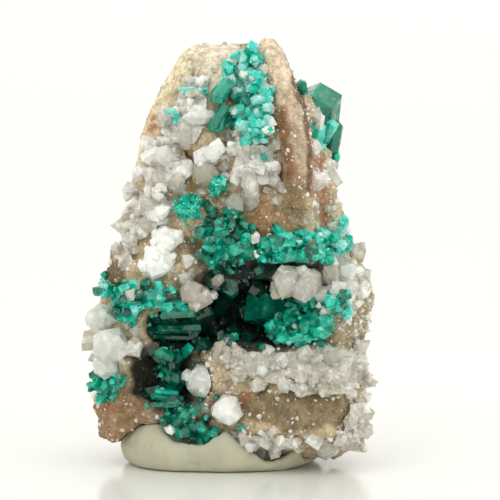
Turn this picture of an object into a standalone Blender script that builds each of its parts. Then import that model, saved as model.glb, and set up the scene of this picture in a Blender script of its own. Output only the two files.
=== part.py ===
"""Dioptase: green crystals with quartz and calcite on a broken limestone rock, set up on a pad of putty.

Metres, +Z up. X runs to the right of the show face and Y into the rock. The origin is on the putty's
flat foot.
"""

import math
import random

import bmesh
import bpy
from mathutils import Matrix, Vector, noise
from mathutils.bvhtree import BVHTree
from mathutils.kdtree import KDTree

MM = 0.001
GAP = 0.3 * MM

# The rock's main body, level by level in millimetres: height, left, right, front, back.
LEVELS = (
    (1.8, -11.0, 10.5, -3.5, 4.5),
    (3.8, -14.8, 14.6, -7.2, 7.5),
    (7.5, -15.6, 15.6, -9.2, 9.4),
    (13.3, -15.8, 15.4, -9.4, 10.2),
    (19.1, -15.4, 15.6, -8.9, 10.0),
    (23.5, -14.2, 14.6, -8.6, 9.4),
    (28.7, -12.4, 12.8, -8.2, 8.6),
    (34.5, -10.6, 11.8, -7.4, 7.6),
    (40.3, -8.6, 10.4, -6.2, 6.4),
    (45.0, -6.2, 7.6, -5.0, 5.0),
    (48.0, -4.2, 5.0, -3.6, 3.4),
    (49.0, -2.6, 3.2, -2.2, 2.2),
)
RING_POINTS = 40
RING_STEP = 1.1 * MM
SQUARENESS = 2.7

# Broken blocks that stand out of the body, in millimetres: middle, half size, turn about X, Y and Z in
# degrees.
BLOCKS = {
    "left_peak": ((-2.7, -0.8, 47.0), (3.5, 3.7, 3.7), (-6, 4, 4)),
    "brown_wedge": ((3.8, -6.1, 30.6), (4.8, 3.8, 2.6), (12, 26, 0)),
    "left_shoulder": ((-11.5, -1.5, 22.6), (4.3, 6.4, 3.6), (0, -24, 12)),
    "left_side": ((-13.0, 0.0, 13.0), (3.6, 8.4, 7.0), (0, 3, 8)),
    "right_side": ((12.2, -0.5, 18.8), (4.2, 7.6, 6.8), (4, -2, -10)),
    "right_back": ((9.1, 2.2, 33.4), (3.4, 5.0, 6.8), (0, -6, 14)),
    "foot_block": ((7.2, -5.9, 6.9), (8.6, 6.6, 4.0), (3, 2, -3)),
    "shelf": ((7.6, -4.9, 11.8), (8.8, 5.8, 3.4), (-18, 6, 0)),
    "left_spur": ((-14.2, -2.4, 6.2), (2.3, 5.8, 4.6), (4, -9, 0)),
    "spur_tip": ((-13.8, -2.0, 4.5), (1.5, 3.6, 2.9), (0, 32, 0)),
    "right_toe": ((12.4, -2.8, 4.1), (4.0, 4.6, 3.1), (0, -14, 10)),
    "middle_toe": ((8.6, -4.4, 2.9), (3.4, 3.8, 2.3), (0, 6, 0)),
    "back_slab": ((-3.6, 7.6, 23.0), (7.4, 5.2, 8.6), (14, 10, 24)),
    "back_knob": ((6.2, 7.4, 25.8), (5.4, 4.6, 5.4), (-12, 22, -30)),
    "back_ledge": ((4.2, 8.4, 11.2), (8.4, 5.4, 5.4), (-8, -14, -12)),
    "back_left": ((-9.2, 7.2, 10.6), (5.2, 5.2, 6.8), (6, 12, 34)),
    "back_crest": ((1.6, 4.6, 38.4), (5.6, 4.2, 6.8), (14, -18, 12)),
    "back_shoulder": ((-5.4, 4.4, 34.0), (3.8, 4.4, 4.8), (0, 24, 26)),
}

# Rounded ribs of the rock, in millimetres: points along the middle line, each with the rib's radius there.
RIBS = {
    "fin": (
        (4.0, -1.4, 50.3, 0.9), (4.6, -3.0, 48.6, 1.5), (5.7, -4.9, 45.3, 1.7), (6.7, -6.1, 41.8, 1.9),
        (7.5, -7.0, 38.2, 2.0), (8.1, -7.5, 34.7, 2.1), (8.3, -7.4, 31.2, 1.9),
    ),
    "left_rim": (
        (-4.6, -1.0, 49.0, 1.0), (-6.3, -1.8, 46.1, 1.2), (-7.9, -2.4, 43.0, 1.4),
        (-9.0, -2.8, 39.9, 1.5), (-9.8, -3.0, 36.0, 1.5), (-10.3, -3.2, 33.0, 1.2),
    ),
}
RIB_DEPTH = 1.25

# Hollows broken into the rock, in millimetres: middle, half size, turn about X, Y and Z in degrees.
HOLLOWS = {
    "vug": ((3.6, -8.6, 19.0), (8.2, 8.2, 4.2), (0, 4, 0)),
    "vug_left": ((-5.6, -8.6, 16.7), (5.4, 5.6, 2.5), (0, 8, 0)),
    "left_hollow": ((-7.2, -8.8, 10.6), (5.0, 6.0, 4.4), (0, -8, 0)),
    "foot_arch": ((-7.8, -2.0, 1.0), (5.9, 15.0, 5.5), (0, -5, 0)),
    "right_pit": ((15.6, -6.6, 14.6), (1.5, 3.4, 1.4), (0, 0, 20)),
    "crest_slot": ((-0.6, -6.8, 39.4), (0.9, 3.6, 2.1), (0, -12, 0)),
    "crest_groove": ((1.6, -5.8, 45.4), (2.6, 2.7, 5.6), (12, 10, 0)),
    "right_recess": ((12.4, -8.0, 30.4), (3.2, 4.6, 6.4), (0, -4, 0)),
}

COARSE = 0.4 * MM
FACET = 3.6 * MM
FACET_TILT = 0.24
FACET_STEP = 0.34 * MM
FLATNESS = 0.92
FACET_SEED = 4
HOLLOW_SEED = 100
ROUGH = 0.16 * MM
ROUGH_SPACING = 1.6 * MM
ROCK_TRIANGLES = 2300

# Crusts of crystals: mineral, crust thickness, space between crystals, crystal radius and length (least,
# most), lean in degrees, and the outline (across, up) as it is seen from the front. All in millimetres.
GROWTHS = {
    "dioptase_crest": (
        "dioptase", 0.7, 1.5, (0.45, 0.8), (1.4, 2.6), 40,
        ((0.2, 48.4), (2.2, 48.8), (3.1, 47.8), (3.8, 45.6), (4.6, 43.0), (4.4, 40.2),
         (3.2, 38.9), (1.6, 39.3), (0.8, 41.6), (0.2, 44.6), (-0.6, 46.4)),
    ),
    "dioptase_middle": (
        "dioptase", 0.7, 1.5, (0.5, 0.8), (1.4, 2.3), 45,
        ((-3.4, 30.2), (-0.8, 31.0), (0.8, 29.8), (2.2, 29.0), (1.9, 25.4), (-1.0, 24.9),
         (-2.6, 24.3), (-3.7, 27.0)),
    ),
    "dioptase_right_band": (
        "dioptase", 0.8, 1.6, (0.5, 0.9), (1.5, 2.4), 45,
        ((2.9, 27.6), (5.6, 28.4), (8.8, 27.9), (8.9, 24.6), (6.8, 24.7), (4.4, 25.0), (2.9, 25.3)),
    ),
    "dioptase_far_band": (
        "dioptase", 0.6, 1.5, (0.5, 0.8), (1.3, 2.1), 45,
        ((9.8, 28.1), (11.6, 29.0), (13.0, 27.8), (13.5, 25.6), (12.1, 25.1), (10.2, 25.3)),
    ),
    "dioptase_left_mass": (
        "dioptase", 0.9, 1.7, (0.6, 1.0), (1.5, 2.5), 45,
        ((-14.2, 21.5), (-13.0, 22.4), (-10.4, 21.6), (-7.6, 21.4), (-8.4, 19.9), (-10.9, 19.2),
         (-11.4, 17.6), (-12.8, 18.2), (-13.6, 18.9), (-14.2, 20.0)),
    ),
    "dioptase_vug_mass": (
        "dioptase", 1.1, 2.0, (0.9, 1.5), (2.4, 3.8), 35,
        ((5.4, 19.9), (7.8, 20.4), (11.0, 19.8), (11.6, 17.2), (10.0, 15.6), (6.3, 15.4), (5.2, 17.0)),
    ),
    "dioptase_low_left": (
        "dioptase", 0.6, 1.4, (0.5, 0.8), (1.2, 1.9), 35,
        ((-13.8, 11.6), (-12.6, 11.3), (-13.1, 10.0), (-15.0, 8.6), (-15.9, 9.6), (-15.2, 10.6)),
    ),
    "dioptase_hollow": (
        "dioptase", 0.7, 1.6, (0.5, 0.9), (1.6, 2.8), 45,
        ((-8.4, 14.2), (-6.4, 14.6), (-6.0, 12.5), (-6.2, 9.2), (-7.8, 8.2), (-8.8, 9.3), (-8.2, 12.0)),
    ),
    "dioptase_foot": (
        "dioptase", 0.7, 1.6, (0.6, 1.0), (1.4, 2.2), 40,
        ((-8.0, 7.4), (-4.9, 7.0), (-3.4, 6.0), (-1.6, 5.2), (-2.0, 4.1), (-4.4, 4.5), (-7.6, 5.7)),
    ),
    "quartz_upper_left": (
        "quartz", 0.5, 1.7, (0.6, 1.0), (1.2, 2.0), 45,
        ((-5.6, 45.3), (-3.4, 46.0), (-2.7, 43.2), (-3.2, 40.5), (-4.4, 39.0), (-7.6, 38.8),
         (-8.6, 41.0), (-6.8, 43.2)),
    ),
    "quartz_left": (
        "quartz", 0.5, 1.8, (0.7, 1.2), (1.2, 2.2), 45,
        ((-10.0, 38.4), (-7.6, 38.2), (-5.6, 37.6), (-5.4, 34.8), (-6.4, 33.4), (-9.7, 33.6), (-10.6, 35.5)),
    ),
    "quartz_left_low": (
        "quartz", 0.5, 1.7, (0.7, 1.1), (1.5, 2.4), 40,
        ((-10.8, 33.0), (-7.6, 32.6), (-7.4, 30.1), (-9.2, 28.4), (-11.6, 27.4), (-12.8, 26.9),
         (-12.0, 30.0)),
    ),
    "quartz_middle": (
        "quartz", 0.5, 1.7, (0.7, 1.1), (1.4, 2.2), 40,
        ((0.4, 38.2), (2.6, 38.4), (4.6, 37.9), (5.3, 35.7), (5.0, 34.0), (3.5, 33.9), (1.6, 34.4),
         (0.1, 35.5)),
    ),
    "quartz_right_mix": (
        "quartz", 0.6, 1.7, (0.6, 1.1), (1.2, 1.9), 45,
        ((10.6, 23.9), (12.4, 24.1), (14.3, 24.3), (14.8, 21.2), (13.6, 18.6), (12.2, 18.2), (11.8, 20.6)),
    ),
    "quartz_shelf": (
        "quartz", 0.7, 1.9, (0.7, 1.2), (1.2, 2.0), 50,
        ((-0.8, 14.4), (3.5, 14.2), (8.0, 14.6), (12.6, 14.8), (15.8, 13.8), (16.0, 10.6), (13.3, 9.6),
         (8.0, 9.9), (3.5, 10.9), (0.8, 11.8), (-0.8, 12.9)),
    ),
    "quartz_right_toe": (
        "quartz", 0.6, 1.7, (0.7, 1.2), (1.3, 2.1), 45,
        ((13.9, 8.2), (15.7, 8.2), (15.8, 5.9), (14.9, 3.8), (13.9, 2.4), (12.5, 2.2), (11.9, 3.5),
         (13.2, 5.0)),
    ),
    "quartz_sill": (
        "quartz", 0.5, 1.7, (0.6, 0.9), (1.1, 1.6), 45,
        ((-0.4, 4.8), (3.5, 4.6), (7.2, 4.1), (7.4, 2.6), (3.5, 2.7), (0.1, 3.4)),
    ),
}

# Single crystals and lumps, in millimetres: kind, root, axis, radius, length.
SINGLES = {
    "dioptase_crown": (
        ("dioptase", (9.6, 1.4, 37.5), (0.10, -0.10, 0.98), 2.75, 7.9),
        ("dioptase", (9.9, -0.8, 37.2), (0.12, -0.50, 0.80), 1.0, 4.2),
        ("dioptase", (11.6, -0.2, 36.4), (0.16, -0.22, 0.94), 0.95, 4.8),
    ),
    "dioptase_drop_upper": (("dioptase", (-1.0, -4.5, 45.1), (-0.36, -0.74, -0.56), 1.0, 3.1),),
    "dioptase_drop_lower": (("dioptase", (-1.2, -4.9, 42.5), (-0.26, -0.70, -0.66), 1.05, 3.7),),
    "dioptase_vug_blade": (("dioptase", (4.6, 1.0, 20.2), (-0.16, -0.93, -0.34), 2.7, 7.0),),
    "dioptase_vug_prisms": (
        ("dioptase", (-4.2, -5.6, 15.9), (-0.97, -0.22, 0.06), 0.85, 7.2),
        ("dioptase", (-4.8, -5.2, 17.5), (-0.96, -0.28, 0.10), 0.75, 5.2),
        ("dioptase", (-2.6, -4.6, 18.6), (-0.90, -0.34, -0.30), 0.9, 4.6),
    ),
    "calcite_white": (
        ("lump", (-8.6, -6.4, 24.4), (-0.10, -0.95, 0.24), 2.0, 3.6),
        ("lump", (-8.0, -6.2, 26.9), (0.18, -0.90, 0.34), 1.6, 3.1),
        ("lump", (-7.0, -6.4, 22.6), (0.10, -0.90, -0.24), 1.5, 3.0),
    ),
    "calcite_left_block": (
        ("lump", (-13.9, -3.4, 17.0), (-0.70, -0.66, 0.24), 1.9, 4.2),
        ("lump", (-13.2, -4.6, 14.6), (-0.40, -0.90, 0.00), 2.3, 5.2),
        ("lump", (-14.0, -4.8, 12.6), (-0.36, -0.90, -0.10), 1.7, 4.2),
    ),
    "calcite_upper": (
        ("lump", (-3.3, -5.0, 36.6), (0.05, -0.93, 0.16), 1.6, 3.5),
        ("lump", (-3.7, -5.4, 34.7), (-0.12, -0.93, -0.10), 1.3, 3.2),
    ),
    "quartz_ball": (
        ("lump", (-4.2, -6.6, 20.9), (0.10, -0.96, -0.10), 1.7, 3.5),
        ("lump", (-5.4, -6.4, 22.4), (-0.10, -0.92, 0.34), 1.3, 3.1),
    ),
    "quartz_tongue": (
        ("lump", (6.6, -6.4, 22.4), (-0.20, -0.94, -0.12), 1.9, 4.1),
        ("lump", (8.6, -6.4, 22.4), (0.16, -0.94, 0.06), 1.7, 3.7),
    ),
    "quartz_centre": (
        ("lump", (0.2, -6.0, 32.4), (-0.20, -0.94, 0.06), 1.25, 3.3),
        ("lump", (1.8, -6.6, 32.6), (0.18, -0.94, 0.12), 1.1, 3.1),
    ),
    "calcite_low": (
        ("lump", (-3.6, -4.8, 10.6), (0.04, -0.98, 0.06), 2.1, 4.8),
        ("lump", (-1.8, -5.4, 9.2), (0.20, -0.95, -0.10), 1.4, 4.6),
    ),
    "calcite_pale_block": (("lump", (-0.2, -7.4, 7.2), (-0.16, -0.95, 0.10), 1.8, 4.4),),
    "quartz_toe_lump": (
        ("lump", (10.8, -4.6, 3.0), (0.10, -0.95, -0.10), 1.6, 4.4),
        ("lump", (9.0, -6.6, 3.1), (-0.10, -0.95, -0.10), 1.25, 3.9),
    ),
}

# Balls of dioptase, in millimetres: middle, radius of the core, crystal count, crystal radius and length.
ROSETTES = {
    "dioptase_ball_left": ((-4.9, -8.3, 31.1), 1.15, 13, 0.48, 1.9),
    "dioptase_ball_right": ((-1.7, -8.1, 33.8), 0.85, 11, 0.38, 1.45),
}

SLOPE = {"dioptase": 0.95, "quartz": 1.2}
LUMP_RINGS = ((0.0, 0.8), (0.45, 1.05), (0.78, 0.95), (1.0, 0.5))
FIRST_TWIST = 0.4
NEXT_TWIST = 0.7
ROSETTE_WRAP = 1.25
GOLDEN = math.pi * (3 - math.sqrt(5))
BLOCK_REACH = (0.86, 1.04)
BURIED = 0.45
SEED_STEP = 100
ATTEMPTS = 8
FEWEST_FACES = 20
ORDER_PLACES = 8
WANDER_OFFSETS = ((0, 0, 0), (31.4, 0, 7.3), (0, 17.9, 53.1))
SAME_PLANE = 4.0
SAME_POINT = 2e-7
GROWTH_SHARE = 0.42
ROSETTE_SHARE = 0.42
FINISHED_SHARE = 0.8
NEIGHBOUR = 0.35 * MM
SHARPEST = 0.45
CRUST_ROOT = 1.0 * MM
UNEVEN = 0.45
UNEVEN_SPACING = 2.2 * MM
WAVE = 0.6 * MM
WAVE_SPACING = 1.9 * MM
STEEPEST = 0.15
TOWARD_FRONT = Vector((0, -0.5, 0))
ROOT_TRIES = 400
FAR = 30 * MM

# The putty, in millimetres: half width, half depth, height of its lump and where its middle is, and how
# much higher than that it is at its left edge, as a share.
PUTTY_MIDDLE = (-1.0, -0.8)
PUTTY_HALF = (12.2, 9.4)
PUTTY_HEIGHT = 9.6
PUTTY_SLOPE = 0.2
PUTTY_FOOT = 2.4
PUTTY_ROUND = 0.8
PUTTY_TOP = 8.0 * MM
PUTTY_SHARE = 0.6
PUTTY_LUMPS = 0.4 * MM
PUTTY_SPACING = 5.0 * MM

COLOURS = {
    "limestone": ((0.36, 0.29, 0.19, 1.0), 0.85, 0.0),
    "dioptase": ((0.01, 0.33, 0.22, 1.0), 0.08, 0.75),
    "quartz": ((0.82, 0.83, 0.80, 1.0), 0.10, 0.85),
    "calcite": ((0.88, 0.87, 0.82, 1.0), 0.25, 0.45),
    "putty": ((0.58, 0.55, 0.42, 1.0), 0.70, 0.0),
}


def clear_scene():
    for old in list(bpy.data.objects):
        bpy.data.objects.remove(old)


def material(name):
    """A plain finish for one mineral: its colour, roughness and how much light goes through."""
    found = bpy.data.materials.get(name)
    if found:
        return found
    colour, roughness, clear = COLOURS[name]
    made = bpy.data.materials.new(name)
    made.use_nodes = True
    shader = made.node_tree.nodes["Principled BSDF"]
    shader.inputs["Base Color"].default_value = colour
    shader.inputs["Roughness"].default_value = roughness
    shader.inputs["Metallic"].default_value = 0.0
    shader.inputs["Transmission Weight"].default_value = clear
    return made


def mesh_object(name, bm, collection):
    mesh = bpy.data.meshes.new(name)
    bm.to_mesh(mesh)
    bm.free()
    made = bpy.data.objects.new(name, mesh)
    collection.objects.link(made)
    return made


def bake(obj):
    """Replaces an object's mesh and modifiers with what they make."""
    bpy.context.view_layer.update()
    evaluated = obj.evaluated_get(bpy.context.evaluated_depsgraph_get())
    mesh = bpy.data.meshes.new_from_object(evaluated)
    obj.modifiers.clear()
    obj.data = mesh
    return obj


def in_order(mesh):
    """Puts a mesh's points and faces in a fixed order, so that what is made from it is the same each time."""
    places = [tuple(round(c, ORDER_PLACES) for c in vertex.co) for vertex in mesh.vertices]
    ranks = sorted(range(len(places)), key=lambda k: places[k])
    rank = {k: r for r, k in enumerate(ranks)}
    faces = []
    for polygon in mesh.polygons:
        corners = [rank[k] for k in polygon.vertices]
        first = corners.index(min(corners))
        faces.append(corners[first:] + corners[:first])
    ordered = bpy.data.meshes.new(mesh.name)
    ordered.from_pydata([places[k] for k in ranks], [], sorted(faces))
    return ordered


def cut_or_join(obj, other, operation, use_self=False):
    """One Boolean between two objects, made at once. The other object is used up."""
    modifier = obj.modifiers.new(operation.title(), "BOOLEAN")
    modifier.operation = operation
    modifier.object = other
    modifier.solver = "EXACT"
    modifier.use_self = use_self
    obj.data = in_order(bake(obj).data)
    bpy.data.objects.remove(other)
    return obj


def remeshed(obj, voxel):
    """Overlapping closed shapes made one skin."""
    modifier = obj.modifiers.new("Skin", "REMESH")
    modifier.mode = "VOXEL"
    modifier.voxel_size = voxel
    return bake(obj)


def is_sound(mesh):
    """Whether a mesh is a closed skin that touches itself along no edge."""
    bm = bmesh.new()
    bm.from_mesh(mesh)
    bmesh.ops.remove_doubles(bm, verts=bm.verts, dist=SAME_POINT)
    sound = len(bm.faces) > FEWEST_FACES and all(edge.is_manifold for edge in bm.edges)
    bm.free()
    return sound


def thinned(obj, triangles):
    modifier = obj.modifiers.new("Thin", "DECIMATE")
    modifier.ratio = triangles / sum(len(face.vertices) - 2 for face in obj.data.polygons)
    modifier.use_collapse_triangulate = True
    return bake(obj)


def largest_body(obj):
    """Keeps the largest body of an object, going from face to face over shared edges, and drops the chips."""
    bm = bmesh.new()
    bm.from_mesh(obj.data)
    bmesh.ops.remove_doubles(bm, verts=bm.verts, dist=SAME_POINT)
    unseen = set(bm.faces)
    bodies = []
    while unseen:
        reached = [unseen.pop()]
        body = []
        while reached:
            face = reached.pop()
            body.append(face)
            for edge in face.edges:
                for other in edge.link_faces:
                    if len(edge.link_faces) == 2 and other in unseen:
                        unseen.remove(other)
                        reached.append(other)
        bodies.append(body)
    keep = set(max(bodies, key=lambda body: sum(face.calc_area() for face in body)))
    bmesh.ops.delete(bm, geom=[face for face in bm.faces if face not in keep], context="FACES")
    bm.to_mesh(obj.data)
    bm.free()
    return obj


def wander(point):
    """A smooth shift that changes from place to place, up to about one unit each way."""
    return Vector([noise.noise(point + Vector(offset)) for offset in WANDER_OFFSETS])


def turned(degrees):
    """The rotation for a turn about X, Y and Z in degrees."""
    x, y, z = (math.radians(angle) for angle in degrees)
    return Matrix.Rotation(z, 4, "Z") @ Matrix.Rotation(y, 4, "Y") @ Matrix.Rotation(x, 4, "X")


def add_hull(bm, points):
    """The convex solid round some points, added to a bmesh."""
    verts = [bm.verts.new(point) for point in points]
    made = bmesh.ops.convex_hull(bm, input=verts)
    inside = [v for v in made["geom_interior"] if isinstance(v, bmesh.types.BMVert)]
    bmesh.ops.delete(bm, geom=inside, context="VERTS")


def add_block(bm, middle, half, turn, seed, corners=26):
    """A broken block: the hull of points spread over a squarish lump, so that it has flat, angular faces."""
    chance = random.Random(seed)
    place = Matrix.Translation(Vector(middle) * MM) @ turned(turn)
    points = []
    for i in range(corners):
        up = 1 - 2 * (i + 0.5) / corners
        across = math.sqrt(1 - up * up)
        angle = GOLDEN * i + chance.uniform(-0.3, 0.3)
        direction = Vector((across * math.cos(angle), across * math.sin(angle), up))
        square = sum(abs(c) ** SQUARENESS for c in direction) ** (-1 / SQUARENESS)
        reach = square * chance.uniform(*BLOCK_REACH)
        points.append(place @ Vector([d * reach * h * MM for d, h in zip(direction, half)]))
    add_hull(bm, points)


def level_at(height):
    """Left, right, front and back of the rock's body at a height, in metres."""
    levels = [[value * MM for value in level] for level in LEVELS]
    for low, high in zip(levels, levels[1:]):
        if height <= high[0]:
            share = max(0.0, (height - low[0]) / (high[0] - low[0]))
            return [a + share * (b - a) for a, b in zip(low[1:], high[1:])]
    return levels[-1][1:]


def make_body(collection):
    """The rock's body: squarish rings up its height, bridged and closed."""
    bm = bmesh.new()
    low, high = LEVELS[0][0] * MM, LEVELS[-1][0] * MM
    count = round((high - low) / RING_STEP) + 1
    edges = []
    for i in range(count):
        height = low + (high - low) * i / (count - 1)
        left, right, front, back = level_at(height)
        ring = []
        for k in range(RING_POINTS):
            angle = 2 * math.pi * k / RING_POINTS
            c, s = math.cos(angle), math.sin(angle)
            x = (left + right) / 2 + (right - left) / 2 * math.copysign(abs(c) ** (2 / SQUARENESS), c)
            y = (front + back) / 2 + (back - front) / 2 * math.copysign(abs(s) ** (2 / SQUARENESS), s)
            ring.append(bm.verts.new((x, y, height)))
        edges += [bm.edges.new((ring[k - 1], ring[k])) for k in range(RING_POINTS)]
        if i in (0, count - 1):
            bm.faces.new(ring)
    bmesh.ops.bridge_loops(bm, edges=edges)
    bmesh.ops.recalc_face_normals(bm, faces=bm.faces)
    return mesh_object("body", bm, collection)


def make_rib(name, points, collection):
    """A rounded rib that tapers along its middle line, deeper than it is wide."""
    curve = bpy.data.curves.new(name, "CURVE")
    curve.dimensions = "3D"
    curve.bevel_depth = MM
    curve.bevel_resolution = 3
    curve.use_fill_caps = True
    spline = curve.splines.new("POLY")
    spline.points.add(len(points) - 1)
    for point, (x, y, z, radius) in zip(spline.points, points):
        point.co = (x * MM, y * MM / RIB_DEPTH, z * MM, 1)
        point.radius = radius
    rib = bpy.data.objects.new(name, curve)
    collection.objects.link(rib)
    bpy.context.view_layer.update()
    mesh = bpy.data.meshes.new_from_object(rib.evaluated_get(bpy.context.evaluated_depsgraph_get()))
    bpy.data.objects.remove(rib)
    bm = bmesh.new()
    bm.from_mesh(mesh)
    bmesh.ops.remove_doubles(bm, verts=bm.verts, dist=1e-6)
    bmesh.ops.scale(bm, vec=(1, RIB_DEPTH, 1), verts=bm.verts)
    return mesh_object(name, bm, collection)


def joined(objects):
    """Several mesh objects put together in the first, each still a closed shape of its own."""
    bm = bmesh.new()
    for obj in objects:
        bm.from_mesh(obj.data)
    first = objects[0]
    bm.to_mesh(first.data)
    bm.free()
    for obj in objects[1:]:
        bpy.data.objects.remove(obj)
    return first


def broken_faces(obj, seed):
    """Flattens a fine skin into facets that meet in ridges and small ledges, as limestone breaks."""
    chance = random.Random(seed)
    vertices = obj.data.vertices
    order = list(range(len(vertices)))
    chance.shuffle(order)
    seeds = []
    for index in order:
        point = vertices[index].co
        if all((point - other).length > FACET for other, _ in seeds):
            seeds.append((point.copy(), index))
    tree = KDTree(len(seeds))
    for k, (point, _) in enumerate(seeds):
        tree.insert(point, k)
    tree.balance()
    cell = [tree.find(vertex.co)[1] for vertex in vertices]
    normals = [Vector() for _ in seeds]
    middles = [Vector() for _ in seeds]
    counts = [0] * len(seeds)
    for vertex, k in zip(vertices, cell):
        normals[k] += vertex.normal
        middles[k] += vertex.co
        counts[k] += 1
    planes = []
    for normal, middle, count in zip(normals, middles, counts):
        tilt = Vector([chance.gauss(0, FACET_TILT) for _ in range(3)])
        step = chance.gauss(0, FACET_STEP)
        normal = (normal.normalized() + tilt).normalized()
        planes.append((middle / count + normal * step, normal))
    for vertex, k in zip(vertices, cell):
        middle, normal = planes[k]
        rough = noise.noise(vertex.co / ROUGH_SPACING) * ROUGH
        vertex.co += normal * (FLATNESS * (middle - vertex.co).dot(normal) + rough)


def make_rock(collection):
    """The limestone: body and broken blocks in flat facets, with the ribs on and the hollows out."""
    blocks = bmesh.new()
    for seed, (middle, half, turn) in enumerate(BLOCKS.values()):
        add_block(blocks, middle, half, turn, seed)
    hollows = bmesh.new()
    for seed, (middle, half, turn) in enumerate(HOLLOWS.values()):
        add_block(hollows, middle, half, turn, HOLLOW_SEED + seed, corners=40)
    rock = remeshed(joined([make_body(collection), mesh_object("blocks", blocks, collection)]), COARSE)
    broken_faces(rock, FACET_SEED)
    ribs = [make_rib(name, points, collection) for name, points in RIBS.items()]
    remeshed(joined([remeshed(rock, COARSE), *ribs]), COARSE)
    hollow = remeshed(mesh_object("hollows", hollows, collection), COARSE)
    cut_or_join(rock, hollow, "DIFFERENCE")
    thinned(remeshed(rock, COARSE), ROCK_TRIANGLES)
    largest_body(rock)
    rock.name = "limestone_rock"
    return rock


def pushed_out(mesh, distance, uneven=0.0):
    """A bmesh of a mesh whose faces stand a distance proud of where they were, or less by an uneven share."""
    bm = bmesh.new()
    bm.from_mesh(mesh)
    bm.normal_update()
    moves = {}
    for vertex in bm.verts:
        flattest = min((vertex.normal.dot(face.normal) for face in vertex.link_faces), default=1.0)
        less = uneven * (0.5 + 0.5 * noise.noise(vertex.co / UNEVEN_SPACING))
        moves[vertex] = vertex.normal * distance * (1 - less) / max(SHARPEST, flattest)
    for vertex, move in moves.items():
        vertex.co += move
    return bm


def crystal_points(kind, root, axis, radius, length, twist):
    """Corners of one crystal: a six-sided prism with three sloping faces on dioptase, or six on quartz."""
    axis = Vector(axis).normalized()
    frame = axis.to_track_quat("Z", "Y").to_matrix().to_4x4()
    place = Matrix.Translation(root) @ frame @ Matrix.Rotation(twist, 4, "Z")
    slope = SLOPE[kind]
    points = [place @ Vector((0, 0, length))]
    for k in range(6):
        angle = math.radians(60 * k)
        flat = Vector((radius * math.cos(angle), radius * math.sin(angle), 0))
        drop = slope * radius * (0.5 if kind == "dioptase" and k % 2 else 1.0)
        points.append(place @ flat)
        points.append(place @ (flat + Vector((0, 0, length - drop))))
    return points


def lump_points(root, axis, radius, length, seed):
    """Corners of a blocky calcite or quartz lump, rounder than a crystal but still in flat faces."""
    chance = random.Random(seed)
    axis = Vector(axis).normalized()
    frame = axis.to_track_quat("Z", "Y").to_matrix().to_4x4()
    place = Matrix.Translation(root) @ frame
    points = []
    for level, width in LUMP_RINGS:
        for k in range(6):
            angle = math.radians(60 * k + 30 * (level > 0.5)) + chance.uniform(-0.25, 0.25)
            reach = radius * width * chance.uniform(0.85, 1.1)
            height = length * level * chance.uniform(0.93, 1.0)
            points.append(place @ Vector((reach * math.cos(angle), reach * math.sin(angle), height)))
    return points


class Ground:
    """The rock's skin as the growths see it, and the growths already there."""

    def __init__(self, rock):
        self.mesh = rock.data
        self.tree = BVHTree.FromPolygons(
            [v.co.copy() for v in rock.data.vertices],
            [tuple(face.vertices) for face in rock.data.polygons],
        )
        self.taken = []

    def seen_at(self, across, up):
        """Where the rock is met from the front, and its normal there."""
        point, normal, _, _ = self.tree.ray_cast(Vector((across, -FAR, up)), Vector((0, 1, 0)))
        return point, normal

    def is_free(self, bm):
        tree = BVHTree.FromBMesh(bm)
        return not any(tree.overlap(other) for other, _ in self.taken)

    def take(self, obj):
        """Adds a growth to those that later ones stay clear of."""
        grown = pushed_out(obj.data, NEIGHBOUR)
        held = bpy.data.meshes.new(obj.name)
        grown.to_mesh(held)
        self.taken.append((BVHTree.FromBMesh(grown), held))
        grown.free()

    def cut_clear(self, obj):
        """Cuts an object back from the growths that it would touch."""
        for other, held in self.taken:
            bm = bmesh.new()
            bm.from_mesh(obj.data)
            touching = other.overlap(BVHTree.FromBMesh(bm))
            bm.free()
            if touching:
                cutter = bpy.data.objects.new("cutter", held.copy())
                obj.users_collection[0].objects.link(cutter)
                cut_or_join(obj, cutter, "DIFFERENCE", use_self=True)


def inside(point, outline):
    """Whether a point (across, up) lies in an outline."""
    found = False
    for (x1, z1), (x2, z2) in zip(outline, outline[1:] + outline[:1]):
        if (z1 > point[1]) != (z2 > point[1]) and point[0] < (x2 - x1) * (point[1] - z1) / (z2 - z1) + x1:
            found = not found
    return found


def wavy(outline, attempt):
    """An outline with its sides broken up, so that no crust ends in a straight line."""
    found = []
    for (x1, z1), (x2, z2) in zip(outline, outline[1:] + outline[:1]):
        for share in (0.0, 0.5):
            x, z = x1 + share * (x2 - x1), z1 + share * (z2 - z1)
            shift = wander(Vector((x / WAVE_SPACING, attempt, z / WAVE_SPACING))) * WAVE
            found.append((x + shift.x, z + shift.z))
    return found


def make_crust(name, ground, outline, thickness, collection):
    """The layer next to the rock inside an outline, from the rock's own shape, for crystals to stand on."""
    depths = [ground.seen_at(x, z)[0] for x, z in outline]
    deepest = max(point.y for point in depths if point) + CRUST_ROOT
    bm = bmesh.new()
    face = bm.faces.new([bm.verts.new((x, -FAR, z)) for x, z in outline])
    made = bmesh.ops.extrude_face_region(bm, geom=[face])
    moved = [v for v in made["geom"] if isinstance(v, bmesh.types.BMVert)]
    bmesh.ops.translate(bm, vec=(0, FAR + deepest, 0), verts=moved)
    bmesh.ops.recalc_face_normals(bm, faces=bm.faces)
    crust = mesh_object(name, bm, collection)
    layer = mesh_object("layer", pushed_out(ground.mesh, GAP + thickness, UNEVEN), collection)
    return cut_or_join(crust, layer, "INTERSECT", use_self=True)


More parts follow.
